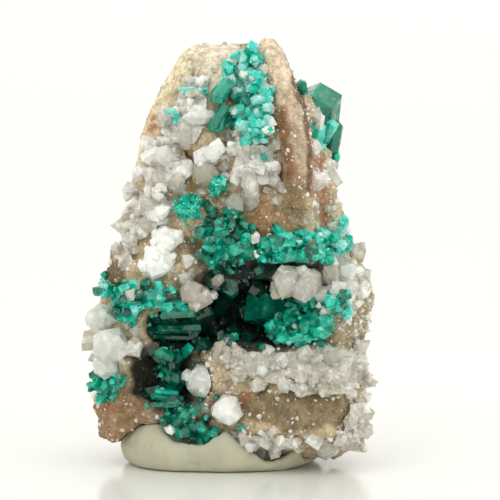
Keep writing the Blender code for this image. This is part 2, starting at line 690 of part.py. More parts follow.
def spread_roots(ground, outline, spacing, chance):
    """Points of the rock inside an outline, no two nearer than the spacing, each with the rock's normal."""
    roots = []
    xs, zs = [x for x, _ in outline], [z for _, z in outline]
    tries = [(x, z) for x, z in outline]
    tries += [(chance.uniform(min(xs), max(xs)), chance.uniform(min(zs), max(zs))) for _ in range(ROOT_TRIES)]
    for k, (x, z) in enumerate(tries):
        if k >= len(outline) and not inside((x, z), outline):
            continue
        point, normal = ground.seen_at(x, z)
        if point is None or normal.y > -STEEPEST:
            continue
        if all((point - other).length > spacing for other, _ in roots):
            roots.append((point, normal))
    return roots


def tidied(obj, share):
    """Merges faces that lie in one plane, then keeps a share of the triangles."""
    bm = bmesh.new()
    bm.from_mesh(obj.data)
    bmesh.ops.dissolve_limit(bm, angle_limit=math.radians(SAME_PLANE), verts=bm.verts, edges=bm.edges)
    bmesh.ops.triangulate(bm, faces=bm.faces)
    bm.to_mesh(obj.data)
    bm.free()
    whole = obj.data.copy()
    if share < 1 and not is_sound(largest_body(thinned(obj, share * len(obj.data.polygons))).data):
        obj.data = whole
    return largest_body(obj)


def finish_growth(growth, ground, mineral, share=1.0):
    """Thins a growth, cuts it clear of the rock and its neighbours and gives it its finish."""
    tidied(growth, share)
    ground.cut_clear(growth)
    cutter = mesh_object("cutter", pushed_out(ground.mesh, GAP), growth.users_collection[0])
    cut_or_join(growth, cutter, "DIFFERENCE", use_self=True)
    tidied(growth, FINISHED_SHARE)
    growth.data.materials.clear()
    growth.data.materials.append(material(mineral))
    return growth


def make_growth(name, ground, collection, seed, attempt):
    """One crust of crystals: a thin layer on the rock with crystals standing out of it."""
    mineral, thickness, spacing, radii, lengths, spread, outline = GROWTHS[name]
    chance = random.Random(seed + SEED_STEP * attempt)
    outline = wavy([(x * MM, z * MM) for x, z in outline], attempt)
    crust = make_crust(name, ground, outline, thickness * MM, collection)
    bm = bmesh.new()
    for point, normal in spread_roots(ground, outline, spacing * MM, chance):
        radius = chance.uniform(*radii) * MM
        length = chance.uniform(*lengths) * MM
        lean = Vector([chance.uniform(-1, 1) for _ in range(3)]) * math.sin(math.radians(spread))
        axis = (normal + TOWARD_FRONT + lean).normalized()
        root = point + axis * (thickness * MM - length * BURIED)
        twist = chance.uniform(0, math.pi)
        alone = bmesh.new()
        points = crystal_points(mineral, root, axis, radius, length * (1 + BURIED), twist)
        add_hull(alone, points)
        if ground.is_free(alone):
            add_hull(bm, points)
        alone.free()
    cut_or_join(crust, mesh_object("crystals", bm, collection), "UNION", use_self=True)
    return finish_growth(crust, ground, mineral, GROWTH_SHARE)


def make_singles(name, ground, collection, seed, attempt):
    """Large crystals or lumps that are placed one by one, joined where they overlap."""
    growth = None
    for i, (kind, root, axis, radius, length) in enumerate(SINGLES[name]):
        root, radius, length = Vector(root) * MM, radius * MM, length * MM
        if kind == "lump":
            points = lump_points(root, axis, radius, length, seed + 7 * i + SEED_STEP * attempt)
        else:
            twist = FIRST_TWIST + NEXT_TWIST * (i + attempt)
            points = crystal_points(kind, root, axis, radius, length, twist)
        bm = bmesh.new()
        add_hull(bm, points)
        piece = mesh_object(name if growth is None else "piece", bm, collection)
        growth = piece if growth is None else cut_or_join(growth, piece, "UNION")
    return finish_growth(growth, ground, name.split("_")[0])


def make_rosette(name, ground, collection, seed, attempt):
    """A ball of crystals that point out all round from a small core."""
    middle, core, count, radius, length = ROSETTES[name]
    chance = random.Random(seed + SEED_STEP * attempt)
    middle = Vector(middle) * MM
    bm = bmesh.new()
    add_hull(bm, lump_points(middle + Vector((0, core * MM, 0)), (0, -1, 0), core * MM, 2 * core * MM, seed))
    ball = mesh_object(name, bm, collection)
    bm = bmesh.new()
    for i in range(count):
        out = 1 - ROSETTE_WRAP * (i + 0.5) / count
        across = math.sqrt(1 - out * out)
        angle = GOLDEN * i + chance.uniform(-0.2, 0.2)
        axis = Vector((across * math.cos(angle), -out, across * math.sin(angle)))
        reach = length * chance.uniform(0.85, 1.05) * MM
        add_hull(bm, crystal_points("dioptase", middle, axis, radius * MM, reach, chance.uniform(0, 3)))
    cut_or_join(ball, mesh_object("crystals", bm, collection), "UNION", use_self=True)
    return finish_growth(ball, ground, "dioptase", ROSETTE_SHARE)


def make_putty(ground, low_growths, collection, attempt):
    """The pad of putty: a lump with a flat foot and the print of the rock and crystals in its top."""
    bm = bmesh.new()
    bmesh.ops.create_uvsphere(bm, u_segments=28, v_segments=14, radius=1)
    for vertex in bm.verts:
        vertex.co.z *= 1 - PUTTY_SLOPE * vertex.co.x
        vertex.co.x = PUTTY_HALF[0] * math.copysign(abs(vertex.co.x) ** PUTTY_ROUND, vertex.co.x)
        vertex.co.y = PUTTY_HALF[1] * math.copysign(abs(vertex.co.y) ** PUTTY_ROUND, vertex.co.y)
        vertex.co.z = PUTTY_HEIGHT / 2 * vertex.co.z + PUTTY_FOOT
        vertex.co = (vertex.co + Vector((*PUTTY_MIDDLE, 0))) * MM
        vertex.co += PUTTY_LUMPS * wander(vertex.co / PUTTY_SPACING + Vector((0, 0, attempt)))
    bmesh.ops.bisect_plane(
        bm, geom=[*bm.verts, *bm.edges, *bm.faces], plane_co=(0, 0, 0), plane_no=(0, 0, -1), clear_outer=True,
    )
    bmesh.ops.holes_fill(bm, edges=[edge for edge in bm.edges if edge.is_boundary])
    bmesh.ops.recalc_face_normals(bm, faces=bm.faces)
    putty = mesh_object("mounting_putty", bm, collection)
    print_of_rock = mesh_object("print", pushed_out(ground.mesh, GAP), collection)
    cut_or_join(putty, print_of_rock, "DIFFERENCE", use_self=True)
    for growth in low_growths:
        bm = bmesh.new()
        grown = pushed_out(growth.data, NEIGHBOUR)
        add_hull(bm, [vertex.co for vertex in grown.verts])
        grown.free()
        cut_or_join(putty, mesh_object("print", bm, collection), "DIFFERENCE")
    tidied(largest_body(putty), PUTTY_SHARE)
    putty.data.materials.append(material("putty"))
    return putty


def until_sound(make):
    """Makes a piece, and makes it again a little differently where its faces didn't close."""
    for attempt in range(ATTEMPTS):
        made = make(attempt)
        if is_sound(made.data):
            return made
        bpy.data.objects.remove(made)
    raise ValueError("a piece didn't close in any attempt")


def grown(make, names, ground, collection):
    """Makes each named growth in turn, clear of those before it."""
    growths = []
    for seed, name in enumerate(names):
        growth = until_sound(lambda attempt: make(name, ground, collection, seed, attempt))
        ground.take(growth)
        growths.append(growth)
    return growths


def main():
    clear_scene()
    specimen = bpy.data.collections.new("dioptase")
    bpy.context.scene.collection.children.link(specimen)
    rock = make_rock(specimen)
    ground = Ground(rock)
    growths = grown(make_singles, SINGLES, ground, specimen)
    growths += grown(make_rosette, ROSETTES, ground, specimen)
    growths += grown(make_growth, GROWTHS, ground, specimen)
    rock.data.materials.append(material("limestone"))
    low = [growth for growth in growths if min(v.co.z for v in growth.data.vertices) < PUTTY_TOP]
    until_sound(lambda attempt: make_putty(ground, low, specimen, attempt))


main()
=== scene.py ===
"""Dioptase specimen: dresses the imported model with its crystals, druse, broken limestone and putty.

Metres, +Z up. X runs to the right of the show face and Y into the rock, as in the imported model.
"""

import math
import random

import bmesh
import bpy
import numpy as np
from bpy.props import FloatProperty, FloatVectorProperty, IntProperty, PointerProperty
from mathutils import Matrix, Vector
from mathutils.bvhtree import BVHTree


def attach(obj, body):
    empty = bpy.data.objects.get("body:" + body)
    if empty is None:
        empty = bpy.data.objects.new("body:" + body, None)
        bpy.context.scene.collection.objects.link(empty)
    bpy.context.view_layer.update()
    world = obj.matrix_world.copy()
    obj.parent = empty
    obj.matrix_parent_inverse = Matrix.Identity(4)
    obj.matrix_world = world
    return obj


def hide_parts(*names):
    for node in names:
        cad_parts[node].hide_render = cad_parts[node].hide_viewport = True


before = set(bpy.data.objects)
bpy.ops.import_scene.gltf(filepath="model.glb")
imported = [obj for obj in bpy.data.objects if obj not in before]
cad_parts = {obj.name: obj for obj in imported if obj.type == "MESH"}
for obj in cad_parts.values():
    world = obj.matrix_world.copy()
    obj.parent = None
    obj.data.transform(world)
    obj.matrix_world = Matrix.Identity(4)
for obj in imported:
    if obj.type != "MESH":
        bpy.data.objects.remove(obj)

bl_info = {
    "name": "Dioptase Specimen",
    "version": (1, 0, 0),
    "blender": (4, 5, 0),
    "location": "3D View > Sidebar > Specimen",
    "description": "Dresses the packed dioptase specimen with crystals, druse, rock and putty",
    "category": "Object",
}

MM = 0.001

# The camera: its distance, its angle above the level, its lens, and what it looks at. Then the way from
# there to the camera, the way up in the picture, and where the camera stands.
VIEW_DISTANCE = 0.42
VIEW_TILT = math.radians(6)
VIEW_LENS = 252
VIEW_MIDDLE = Vector((2.04, 2.634, 25.062)) * MM
VIEW_BACK = Vector((0, -math.cos(VIEW_TILT), math.sin(VIEW_TILT)))
VIEW_UP = Vector((0, math.sin(VIEW_TILT), math.cos(VIEW_TILT)))
EYE = VIEW_MIDDLE + VIEW_BACK * VIEW_DISTANCE

# The size of one picture step at the middle of the specimen, and how many steps lead to the middle.
PICTURE_STEP = 0.12 * MM
PICTURE_MIDDLE = 250

# Areas of the rock's show face: softness of the edge and outline, both in picture steps from the top left.
AREAS = {
    "peak": (3, ((190, 50), (197, 38), (212, 36), (238, 40), (241, 58), (234, 72), (226, 92), (214, 98),
        (202, 84), (192, 66))),
    "rim": (3, ((189, 44), (196, 60), (186, 82), (172, 104), (160, 132), (150, 160), (143, 178),
        (128, 178), (134, 150), (148, 108), (170, 66))),
    "fin": (2, ((256, 36), (266, 30), (277, 42), (290, 70), (300, 100), (306, 140), (308, 180), (306, 212),
        (290, 212), (284, 190), (283, 160), (279, 130), (274, 100), (266, 70))),
    "fin_tip": (4, ((252, 26), (268, 24), (286, 44), (294, 76), (286, 90), (272, 80), (262, 58))),
    # The fin's right edge, where it falls back steeply; its dark tone is painted shade.
    "fin_edge": (1.2, ((286, 56), (294, 72), (306, 108), (312, 150), (312, 196), (308, 196), (306, 150),
        (299, 106), (290, 76))),
    "groove": (4, ((277, 104), (286, 108), (293, 148), (299, 178), (298, 204), (288, 198), (282, 160))),
    "amber": (6, ((176, 150), (200, 150), (208, 186), (190, 194), (176, 176))),
    "fin_low": (6, ((282, 180), (306, 174), (306, 212), (288, 212))),
    "wedge": (3, ((250, 198), (262, 197), (280, 210), (300, 232), (285, 238), (262, 238), (246, 228))),
    "lower_face": (3, ((236, 397), (243, 391), (252, 395), (263, 388), (276, 393), (289, 389), (299, 395),
        (312, 392), (322, 399), (336, 396), (350, 403), (345, 412), (349, 420), (337, 430), (327, 424),
        (314, 433), (300, 427), (287, 432), (270, 424), (257, 422), (247, 414), (241, 408))),
    "spur": (4, ((92, 376), (120, 384), (140, 400), (152, 425), (125, 448), (92, 452), (90, 420))),
    "earth_left": (4, ((92, 256), (125, 262), (124, 284), (104, 288), (90, 275))),
    "earth_middle": (4, ((185, 238), (206, 236), (207, 265), (190, 268))),
    "vug": (7, ((150, 322), (185, 292), (205, 266), (250, 258), (318, 262), (334, 300), (328, 340),
        (282, 352), (200, 354), (150, 345))),
    "hollow": (5, ((128, 345), (190, 345), (194, 402), (160, 408), (132, 395))),
    "rust_right": (5, ((311, 150), (324, 158), (332, 232), (318, 230), (312, 190))),
    "rust_face": (3, ((238, 396), (250, 393), (253, 399), (243, 406))),
    "rust_spur": (4, ((92, 392), (114, 394), (112, 412), (94, 412))),
    "rust_rim": (4, ((150, 112), (166, 114), (160, 134), (146, 132))),
    "rust_spot": (2, ((350, 352), (362, 352), (362, 362), (350, 362))),
    "matrix": (6, ((332, 272), (372, 282), (376, 350), (345, 345), (335, 310))),
}
STAINS = ("rust_right", "rust_face", "rust_spur", "rust_rim", "rust_spot")
EARTHS = ("earth_left", "earth_middle")

# Where small crystals cover the rock, outlined in the same way.
CLEAR_AREAS = (
    (5, ((160, 98), (200, 94), (230, 128), (236, 190), (205, 215), (180, 232), (150, 262), (112, 262),
        (132, 178))),
    (5, ((205, 140), (282, 140), (284, 200), (240, 215), (208, 200))),
    (4, ((306, 108), (342, 112), (348, 228), (312, 232))),
    (5, ((300, 236), (362, 240), (370, 300), (340, 330), (315, 312))),
    (5, ((120, 232), (215, 262), (205, 306), (150, 300), (110, 268))),
    (5, ((298, 436), (350, 396), (376, 380), (378, 440), (340, 459), (300, 456))),
    (4, ((205, 416), (322, 426), (326, 452), (225, 446))),
    (4, ((88, 300), (140, 300), (140, 372), (90, 376))),
    (3, ((272, 46), (284, 60), (280, 80), (272, 66))),
)
FINE_AREAS = (
    (5, ((188, 352), (232, 346), (375, 336), (378, 396), (345, 402), (236, 396), (195, 380))),
    (4, ((205, 90), (226, 60), (262, 40), (284, 120), (288, 160), (240, 160))),
    (5, ((330, 268), (374, 284), (376, 352), (345, 345), (330, 310))),
    (4, ((302, 60), (342, 100), (346, 232), (304, 232))),
)
GREEN_AREAS = (
    (4, ((226, 66), (246, 46), (264, 56), (274, 96), (282, 128), (262, 148), (240, 146), (226, 122))),
    (4, ((178, 196), (206, 194), (226, 204), (250, 222), (255, 262), (205, 272), (198, 244), (180, 224))),
    (4, ((199, 222), (251, 224), (309, 232), (314, 266), (250, 266), (204, 270))),
    (3, ((311, 228), (330, 224), (349, 240), (347, 264), (311, 263))),
    (4, ((96, 276), (130, 280), (176, 288), (172, 332), (140, 334), (114, 312), (98, 292))),
    (5, ((140, 302), (250, 296), (330, 290), (334, 344), (270, 350), (150, 346))),
    (4, ((157, 338), (192, 341), (193, 402), (163, 402))),
    (4, ((142, 388), (224, 400), (226, 436), (165, 432), (140, 412))),
    (3, ((98, 362), (128, 362), (128, 394), (98, 390))),
    (3, ((310, 112), (336, 114), (336, 150), (310, 146))),
)
BARE_AREAS = ("peak", "rim", "fin", "fin_tip", "fin_edge", "wedge", "lower_face", "spur")

# The colour of each area of the stone, and of what lies in it or over it. The fin edge's dark tone and the
# near-black HOLLOW_SHADE and VUG_SHADE are painted shade.
AREA_TONES = {
    "peak": (0.80, 0.69, 0.54), "rim": (0.84, 0.70, 0.47), "fin": (0.56, 0.43, 0.30),
    "fin_tip": (0.80, 0.63, 0.46), "groove": (0.29, 0.14, 0.065), "fin_low": (0.34, 0.24, 0.13),
    # The fin edge's dark tone is painted shade where the fin falls back steeply.
    "fin_edge": (0.20, 0.13, 0.08), "wedge": (0.40, 0.24, 0.115), "lower_face": (0.265, 0.20, 0.108),
    "spur": (0.38, 0.235, 0.13), "matrix": (0.46, 0.37, 0.235), "amber": (0.50, 0.33, 0.15),
}
IRON = (0.40, 0.22, 0.09)
CRACK = (0.13, 0.085, 0.045)
POWDER = (0.67, 0.53, 0.34)
EARTH = (0.15, 0.095, 0.045)
RUST = (0.44, 0.13, 0.06)
HOLLOW_SHADE = (0.035, 0.034, 0.022)
VUG_SHADE = (0.003, 0.010, 0.0065)
SUGAR = (0.88, 0.86, 0.79)

# The rock's relief: how far apart its chips, flakes and ledges are, and how low and high it may reach
# against the relief setting.
CHIP = 1.5 * MM
FLAKE = 0.62 * MM
LEDGE = 4.2 * MM
LOWEST = -6.0
HIGHEST = 1.6

# The putty: how far it bulges, how far its right half rises to meet the crystals, how far apart its
# creases are, and how many times it is smoothed.
PUTTY_BULGE = 0.12 * MM
PUTTY_RISE = 1.9 * MM
CREASE = 1.15 * MM
PUTTY_SMOOTHING = 10

# The most crystals that are tried in each square of their spacing.
MOST_CROWDED = 1.6

# How far in front of the crust a needle lies, how far each placed crystal is turned past the last, and how
# whole placed crystals look, where 1 is whole: less milky and with less facet mottling, which on clear
# crystals is painted see-through tan and painted glints.
NEEDLE_LIFT = 0.9 * MM
PLACED_TURN = 1.3
PLACED_WHOLE = 0.7

# The step from one growth's seed to the next, and the turn that a crystal may have about its axis.
SEED_STEP = 10
FULL_TURN = 6.283

# The stage: half the floor's width in metres, how far it lies below the putty, and the lights. Each light has
# its place, its size and its share of the key light's power.
FLOOR_HALF = 6
FLOOR_DROP = 0.01 * MM
LIGHTS = {
    "key": ((-0.10, -0.16, 0.26), 0.10, 1.0),
    "side": ((0.22, -0.14, 0.14), 0.07, 0.5),
}

# Large numbers that scatter neighbouring cells, the bits that are kept of the result, and where cells start,
# which keeps their numbers above zero.
SCATTER = (73856093, 19349663, 83492791, 2654435761)
STIR = 1274126177
WORD = 0xFFFFFFFF
KEPT = 0xFFFFFF
FIRST_CELL = 4096


class RockSettings(bpy.types.PropertyGroup):
    """The limestone's fineness and relief."""

    voxel: FloatProperty(
        name="Fineness", description="Side of the smallest facet of the rock", default=0.275 * MM,
        min=0.1 * MM, max=1 * MM, unit="LENGTH", precision=5,
    )
    swell: FloatProperty(
        name="Swell", description="How far the rock stands out to meet its crystals", default=0.14 * MM,
        min=0, max=0.4 * MM, unit="LENGTH", precision=5,
    )
    relief: FloatProperty(
        name="Relief", description="Height of the broken surface's small bumps", default=0.22 * MM,
        min=0, max=1 * MM, unit="LENGTH", precision=5,
    )
    colour: FloatVectorProperty(
        name="Limestone", description="Main colour of the limestone", subtype="COLOR", size=3, min=0, max=1,
        default=(0.36, 0.28, 0.18),
    )


class CrystalSettings(bpy.types.PropertyGroup):
    """The crystals' colours and sizes."""

    green: FloatVectorProperty(
        name="Dioptase", description="Colour of a middling dioptase crystal", subtype="COLOR", size=3, min=0,
        max=1, default=(0.003, 0.36, 0.22),
    )
    size: FloatProperty(
        name="Size", description="Size of all small crystals against their usual size", default=1.0, min=0.5,
        max=1.5, subtype="FACTOR",
    )
    seed: IntProperty(name="Seed", description="Which of many even arrangements is made", default=1, min=0)


class PuttySettings(bpy.types.PropertyGroup):
    """The putty's colour and softness."""

    colour: FloatVectorProperty(
        name="Putty", description="Colour of the putty", subtype="COLOR", size=3, min=0, max=1,
        default=(0.56, 0.54, 0.40),
    )
    voxel: FloatProperty(
        name="Fineness", description="Side of the putty's smallest facet before smoothing", default=0.32 * MM,
        min=0.1 * MM, max=1 * MM, unit="LENGTH", precision=5,
    )


class StageSettings(bpy.types.PropertyGroup):
    """The floor and the light."""

    backdrop: FloatVectorProperty(
        name="Backdrop", description="Colour of the floor and of the light all round", subtype="COLOR",
        size=3, min=0, max=1, default=(0.985, 0.985, 0.945),
    )
    key: FloatProperty(
        name="Key light", description="Power of the large light above", default=0.12, min=0, unit="POWER",
    )


def hashed(cells, seed):
    """A number from 0 to 1 for each whole-number cell, always the same for the same cell."""
    x, y, z = (cells[..., k].astype(np.int64) for k in range(3))
    mixed = (x * SCATTER[0]) ^ (y * SCATTER[1]) ^ (z * SCATTER[2]) ^ (seed * SCATTER[3])
    mixed = (mixed ^ (mixed >> 13)) * STIR & WORD
    mixed = (mixed ^ (mixed >> 16)) & KEPT
    return mixed / KEPT


def eased(share):
    """A share from 0 to 1 that starts and ends gently."""
    return share * share * (3 - 2 * share)


def waver(points, spacing, seed):
    """Smooth noise from -1 to 1 at each point, its hills about a spacing apart."""
    scaled = points / spacing + FIRST_CELL
    low = np.floor(scaled)
    share = eased(scaled - low)
    total = np.zeros(len(points))
    for corner in np.ndindex(2, 2, 2):
        corner = np.array(corner)
        weight = np.prod(np.where(corner, share, 1 - share), axis=1)
        total += weight * hashed(low + corner, seed)
    return total * 2 - 1


def chips(points, spacing, seed):
    """For scattered seeds: distance to the nearest and the next, against the spacing, and the nearest's
    number and slant, which makes each seed's cell a tilted facet.
    """
    scaled = points / spacing + FIRST_CELL
    home = np.floor(scaled)
    first, second = np.full(len(points), 9.0), np.full(len(points), 9.0)
    number, slant = np.zeros(len(points)), np.zeros(len(points))
    for step in np.ndindex(3, 3, 3):
        cell = home + np.array(step) - 1
        middle = cell + np.stack([hashed(cell, seed + k) for k in (1, 2, 3)], axis=1)
        away = np.linalg.norm(middle - scaled, axis=1)
        nearer = away < first
        second = np.where(nearer, first, np.minimum(second, away))
        number = np.where(nearer, hashed(cell, seed + 4), number)
        way = np.stack([hashed(cell, seed + k) for k in (5, 6, 7)], axis=1) - 0.5
        slant = np.where(nearer, np.sum((scaled - middle) * way, axis=1), slant)
        first = np.minimum(first, away)
    return first, second, number, slant


def places_of(mesh):
    places = np.empty(len(mesh.vertices) * 3, np.float32)
    mesh.vertices.foreach_get("co", places)
    return places.reshape(-1, 3).astype(float)


def normals_of(mesh):
    normals = np.empty(len(mesh.vertices) * 3, np.float32)
    mesh.vertex_normals.foreach_get("vector", normals)
    return normals.reshape(-1, 3).astype(float)


def put_places(mesh, places):
    mesh.vertices.foreach_set("co", places.astype(np.float32).ravel())
    mesh.update()


def put_numbers(mesh, name, numbers):
    """Stores a number for each point of a mesh, for materials and growths to read."""
    found = mesh.attributes.get(name) or mesh.attributes.new(name, "FLOAT", "POINT")
    found.data.foreach_set("value", np.asarray(numbers, np.float32))


def in_picture(places):
    """Where points are seen from the camera, in picture steps from the top left."""
    away = places - np.array(VIEW_MIDDLE)
    cosine, sine = math.cos(VIEW_TILT), math.sin(VIEW_TILT)
    depth = away[:, 1] * cosine - away[:, 2] * sine
    rise = away[:, 2] * cosine + away[:, 1] * sine
    nearness = VIEW_DISTANCE / (VIEW_DISTANCE + depth) / PICTURE_STEP
    return np.stack([PICTURE_MIDDLE + away[:, 0] * nearness, PICTURE_MIDDLE - rise * nearness], axis=1)


def depth_inside(seen, outline):
    """How far points lie inside an outline, in picture steps: below 0 outside it."""
    outline = np.array(outline, float)
    nearest = np.full(len(seen), 1e9)
    crossings = np.zeros(len(seen), bool)
    for a, b in zip(outline, np.roll(outline, -1, axis=0)):
        along = b - a
        share = np.clip(((seen - a) @ along) / (along @ along), 0, 1)
        nearest = np.minimum(nearest, np.linalg.norm(seen - a - share[:, None] * along, axis=1))
        spans = (a[1] > seen[:, 1]) != (b[1] > seen[:, 1])
        rise = b[1] - a[1] if b[1] != a[1] else 1e-9
        crossings ^= spans & (seen[:, 0] < (b[0] - a[0]) * (seen[:, 1] - a[1]) / rise + a[0])
    return np.where(crossings, nearest, -nearest)


def covered(seen, soft, outline):
    """How far an area covers points, from 0 to 1, with a soft edge."""
    return eased(np.clip(depth_inside(seen, outline) / (2 * soft) + 0.5, 0, 1))


def smooth_step(low, high, values):
    return eased(np.clip((values - low) / (high - low), 0, 1))


class Value:
    """A node's socket that can be used in sums, so that maths in a node tree reads as maths."""

    def __init__(self, tree, socket):
        self.tree = tree
        self.socket = socket

    def other(self, output):
        """Another output of the same node."""
        return Value(self.tree, self.socket.node.outputs[output])

    def sum(self, operation, *values):
        node = self.tree.nodes.new("ShaderNodeMath")
        node.operation = operation
        for socket, value in zip(node.inputs, values):
            put(self.tree, socket, value)
        return Value(self.tree, node.outputs[0])

    def __add__(self, other):
        return self.sum("ADD", self, other)

    def __radd__(self, other):
        return self.sum("ADD", other, self)

    def __sub__(self, other):
        return self.sum("SUBTRACT", self, other)

    def __rsub__(self, other):
        return self.sum("SUBTRACT", other, self)

    def __mul__(self, other):
        return self.sum("MULTIPLY", self, other)

    def __rmul__(self, other):
        return self.sum("MULTIPLY", other, self)


def put(tree, socket, value):
    """Links a value to a socket, or sets the socket to it."""
    if isinstance(value, Value):
        tree.links.new(value.socket, socket)
    else:
        socket.default_value = value


class NodeTree:
    """A node tree as it is being built."""

    def __init__(self, tree):
        self.tree = tree

    def node(self, kind, settings=None, inputs=None, output=0):
        """Adds one node: its settings first, then the values or links of its sockets."""
        node = self.tree.nodes.new(kind)
        for name, value in (settings or {}).items():
            if name == "stops":
                self.stops(node.color_ramp, value)
            else:
                setattr(node, name, value)
        for name, value in (inputs or {}).items():
            put(self.tree, node.inputs[name], value)
        return Value(self.tree, node.outputs[output]) if node.outputs else None

    def stops(self, ramp, stops):
        while len(ramp.elements) < len(stops):
            ramp.elements.new(0.5)
        for element, (position, colour) in zip(ramp.elements, stops):
            element.position = position
            element.color = (*colour, 1)

    def vector(self, operation, first, second=(0, 0, 0)):
        """Vector maths. The second value is a number where a vector is scaled."""
        inputs = {0: first, "Scale" if operation == "SCALE" else 1: second}
        return self.node("ShaderNodeVectorMath", {"operation": operation}, inputs)


class Finish(NodeTree):
    """A material as it is being built."""

    def __init__(self, name):
        self.material = bpy.data.materials.new(name)
        self.material.use_nodes = True
        super().__init__(self.material.node_tree)
        self.tree.nodes.clear()
        self.place = self.node("ShaderNodeTexCoord", output="Object")

    def ramp(self, factor, *stops):
        return self.node("ShaderNodeValToRGB", {"stops": stops}, {"Fac": factor})

    def span(self, value, low, high):
        """A value carried from low..high to 0..1, smoothly."""
        settings = {"interpolation_type": "SMOOTHSTEP", "clamp": True}
        return self.node("ShaderNodeMapRange", settings, {"Value": value, "From Min": low, "From Max": high})

    def mix(self, factor, first, second, blend="MIX"):
        """Two colours mixed."""
        first, second = (c if isinstance(c, Value) else (*c, 1) for c in (first, second))
        settings = {"data_type": "RGBA", "blend_type": blend}
        return self.node("ShaderNodeMix", settings, {0: factor, 6: first, 7: second}, output=2)

    def grain(self, size, detail=4, roughness=0.6, place=None):
        """Cloudy noise with features of about this size in millimetres."""
        inputs = {
            "Vector": place or self.place, "Scale": 1 / (size * MM), "Detail": detail, "Roughness": roughness,
        }
        return self.node("ShaderNodeTexNoise", None, inputs)

    def cells(self, size, feature="F1", output="Distance"):
        """Cells of about this size in millimetres."""
        inputs = {"Vector": self.place, "Scale": 1 / (size * MM)}
        return self.node("ShaderNodeTexVoronoi", {"feature": feature}, inputs, output)

    def facets(self, size, tilt):
        """A normal that turns a little from one small cell to the next, as on broken crystal."""
        turn = self.vector("SUBTRACT", self.cells(size, output="Color"), (0.5, 0.5, 0.5))
        normal = self.node("ShaderNodeNewGeometry", output="Normal")
        return self.vector("NORMALIZE", self.vector("ADD", normal, self.vector("SCALE", turn, tilt)))

    def number(self, name):
        """A number stored on the mesh."""
        return self.node("ShaderNodeAttribute", {"attribute_name": name}, output="Fac")

    def bump(self, height, strength, depth, after=None):
        """A bump of a depth in millimetres, on top of another one where there is one."""
        inputs = {"Height": height, "Strength": strength, "Distance": depth * MM}
        if after:
            inputs["Normal"] = after
        return self.node("ShaderNodeBump", None, inputs)

    def shader(self, inputs):
        return self.node("ShaderNodeBsdfPrincipled", None, inputs)

    def done(self, surface):
        self.node("ShaderNodeOutputMaterial", None, {"Surface": surface})
        return self.material


def limestone_finish(name):
    """Stone in patches, with cracks, powder, earth, rust, shaded hollows and sugary specks."""
    finish = Finish(name)
    main = tuple(bpy.context.scene.specimen_rock.colour)
    colour = finish.ramp(
        finish.grain(3.2, detail=6),
        (0.30, (0.24, 0.17, 0.10)), (0.46, main), (0.58, (0.50, 0.41, 0.28)), (0.72, (0.66, 0.59, 0.46)),
    )
    fine = finish.grain(0.35, detail=5, roughness=0.7)
    patch = finish.grain(1.1)
    iron = finish.span(finish.grain(5.0, detail=5), 0.52, 0.66)
    crack = finish.span(finish.cells(2.6, "DISTANCE_TO_EDGE"), 0.05, 0.0)
    crack = crack * finish.span(finish.grain(2.0), 0.44, 0.58)
    colour = finish.mix(iron * 0.6, colour, IRON)
    colour = finish.mix(crack * 0.7, colour, CRACK)
    colour = finish.mix(finish.number("pale") * finish.span(patch, 0.30, 0.52), colour, POWDER)
    for area, tone in AREA_TONES.items():
        darker, lighter = (tuple(min(1, share * c) for c in tone) for share in (0.72, 1.22))
        toned = finish.mix(finish.span(patch, 0.34, 0.66), darker, lighter)
        colour = finish.mix(finish.number(area), colour, toned)
    stain = finish.number("stain") * finish.span(finish.grain(0.7), 0.43, 0.55)
    colour = finish.mix(finish.number("earth"), colour, EARTH)
    colour = finish.mix(stain * 0.8, colour, RUST)
    colour = finish.mix(finish.number("hollow"), colour, HOLLOW_SHADE)
    colour = finish.mix(finish.number("vug"), colour, VUG_SHADE)
    shade = finish.mix(finish.span(fine, 0.30, 0.68), (0.74, 0.73, 0.71), (1.16, 1.16, 1.15))
    colour = finish.mix(1.0, colour, shade, "MULTIPLY")
    speck = finish.span(finish.cells(0.30), 0.24, 0.12) * finish.span(finish.grain(0.9), 0.46, 0.62)
    colour = finish.mix(speck * 0.75, colour, SUGAR)
    bump = finish.bump(finish.grain(0.9, detail=6, roughness=0.7), 0.55, 0.14, finish.facets(0.22, 0.45))
    return finish.done(finish.shader({
        "Base Color": colour, "Roughness": 0.82 - 0.5 * speck - 0.22 * finish.number("vug"),
        "Normal": finish.bump(fine, 0.7, 0.06, bump), "Specular IOR Level": 0.45,
    }))


def dioptase_finish(name):
    """Deep green to bright blue-green crystal, by a tone for each crystal; its dark end is painted shade, its
    bright end partly painted highlight.
    """
    finish = Finish(name)
    green = tuple(bpy.context.scene.specimen_crystals.green)
    flake = finish.cells(0.75, output="Color")
    broken = finish.span(finish.number("tone"), 0.0, 0.4) * (1 - 0.75 * finish.number("whole"))
    tone = finish.number("tone") + 0.62 * (flake - 0.5) * broken
    # The ramp's near-black end is painted shade, taken by the crystals in the vug; its near-white blue-green
    # end is partly the crystals' own bright colour and partly painted highlight.
    colour = finish.ramp(
        tone,
        (0.0, (0.0004, 0.012, 0.008)), (0.2, (0.0006, 0.10, 0.058)), (0.42, green),
        (0.66, (0.004, 0.74, 0.53)), (0.86, (0.06, 0.97, 0.80)), (1.0, (0.46, 1.0, 0.93)),
    )
    streak = finish.node("ShaderNodeMapping", None, {"Vector": finish.place, "Scale": (1, 1, 3.5)})
    veil = finish.span(finish.grain(0.55, detail=3, place=streak), 0.52, 0.74)
    scratch = finish.grain(0.16, detail=2, place=streak)
    return finish.done(finish.shader({
        "Base Color": finish.mix(veil * finish.span(tone, 0.15, 0.6) * 0.4, colour, (0.03, 0.70, 0.55)),
        "Roughness": 0.05 + 0.16 * finish.span(finish.grain(0.7), 0.48, 0.72), "IOR": 1.66,
        "Transmission Weight": 0.25, "Normal": finish.bump(scratch, 0.16, 0.02, finish.facets(0.62, 0.42)),
    }))


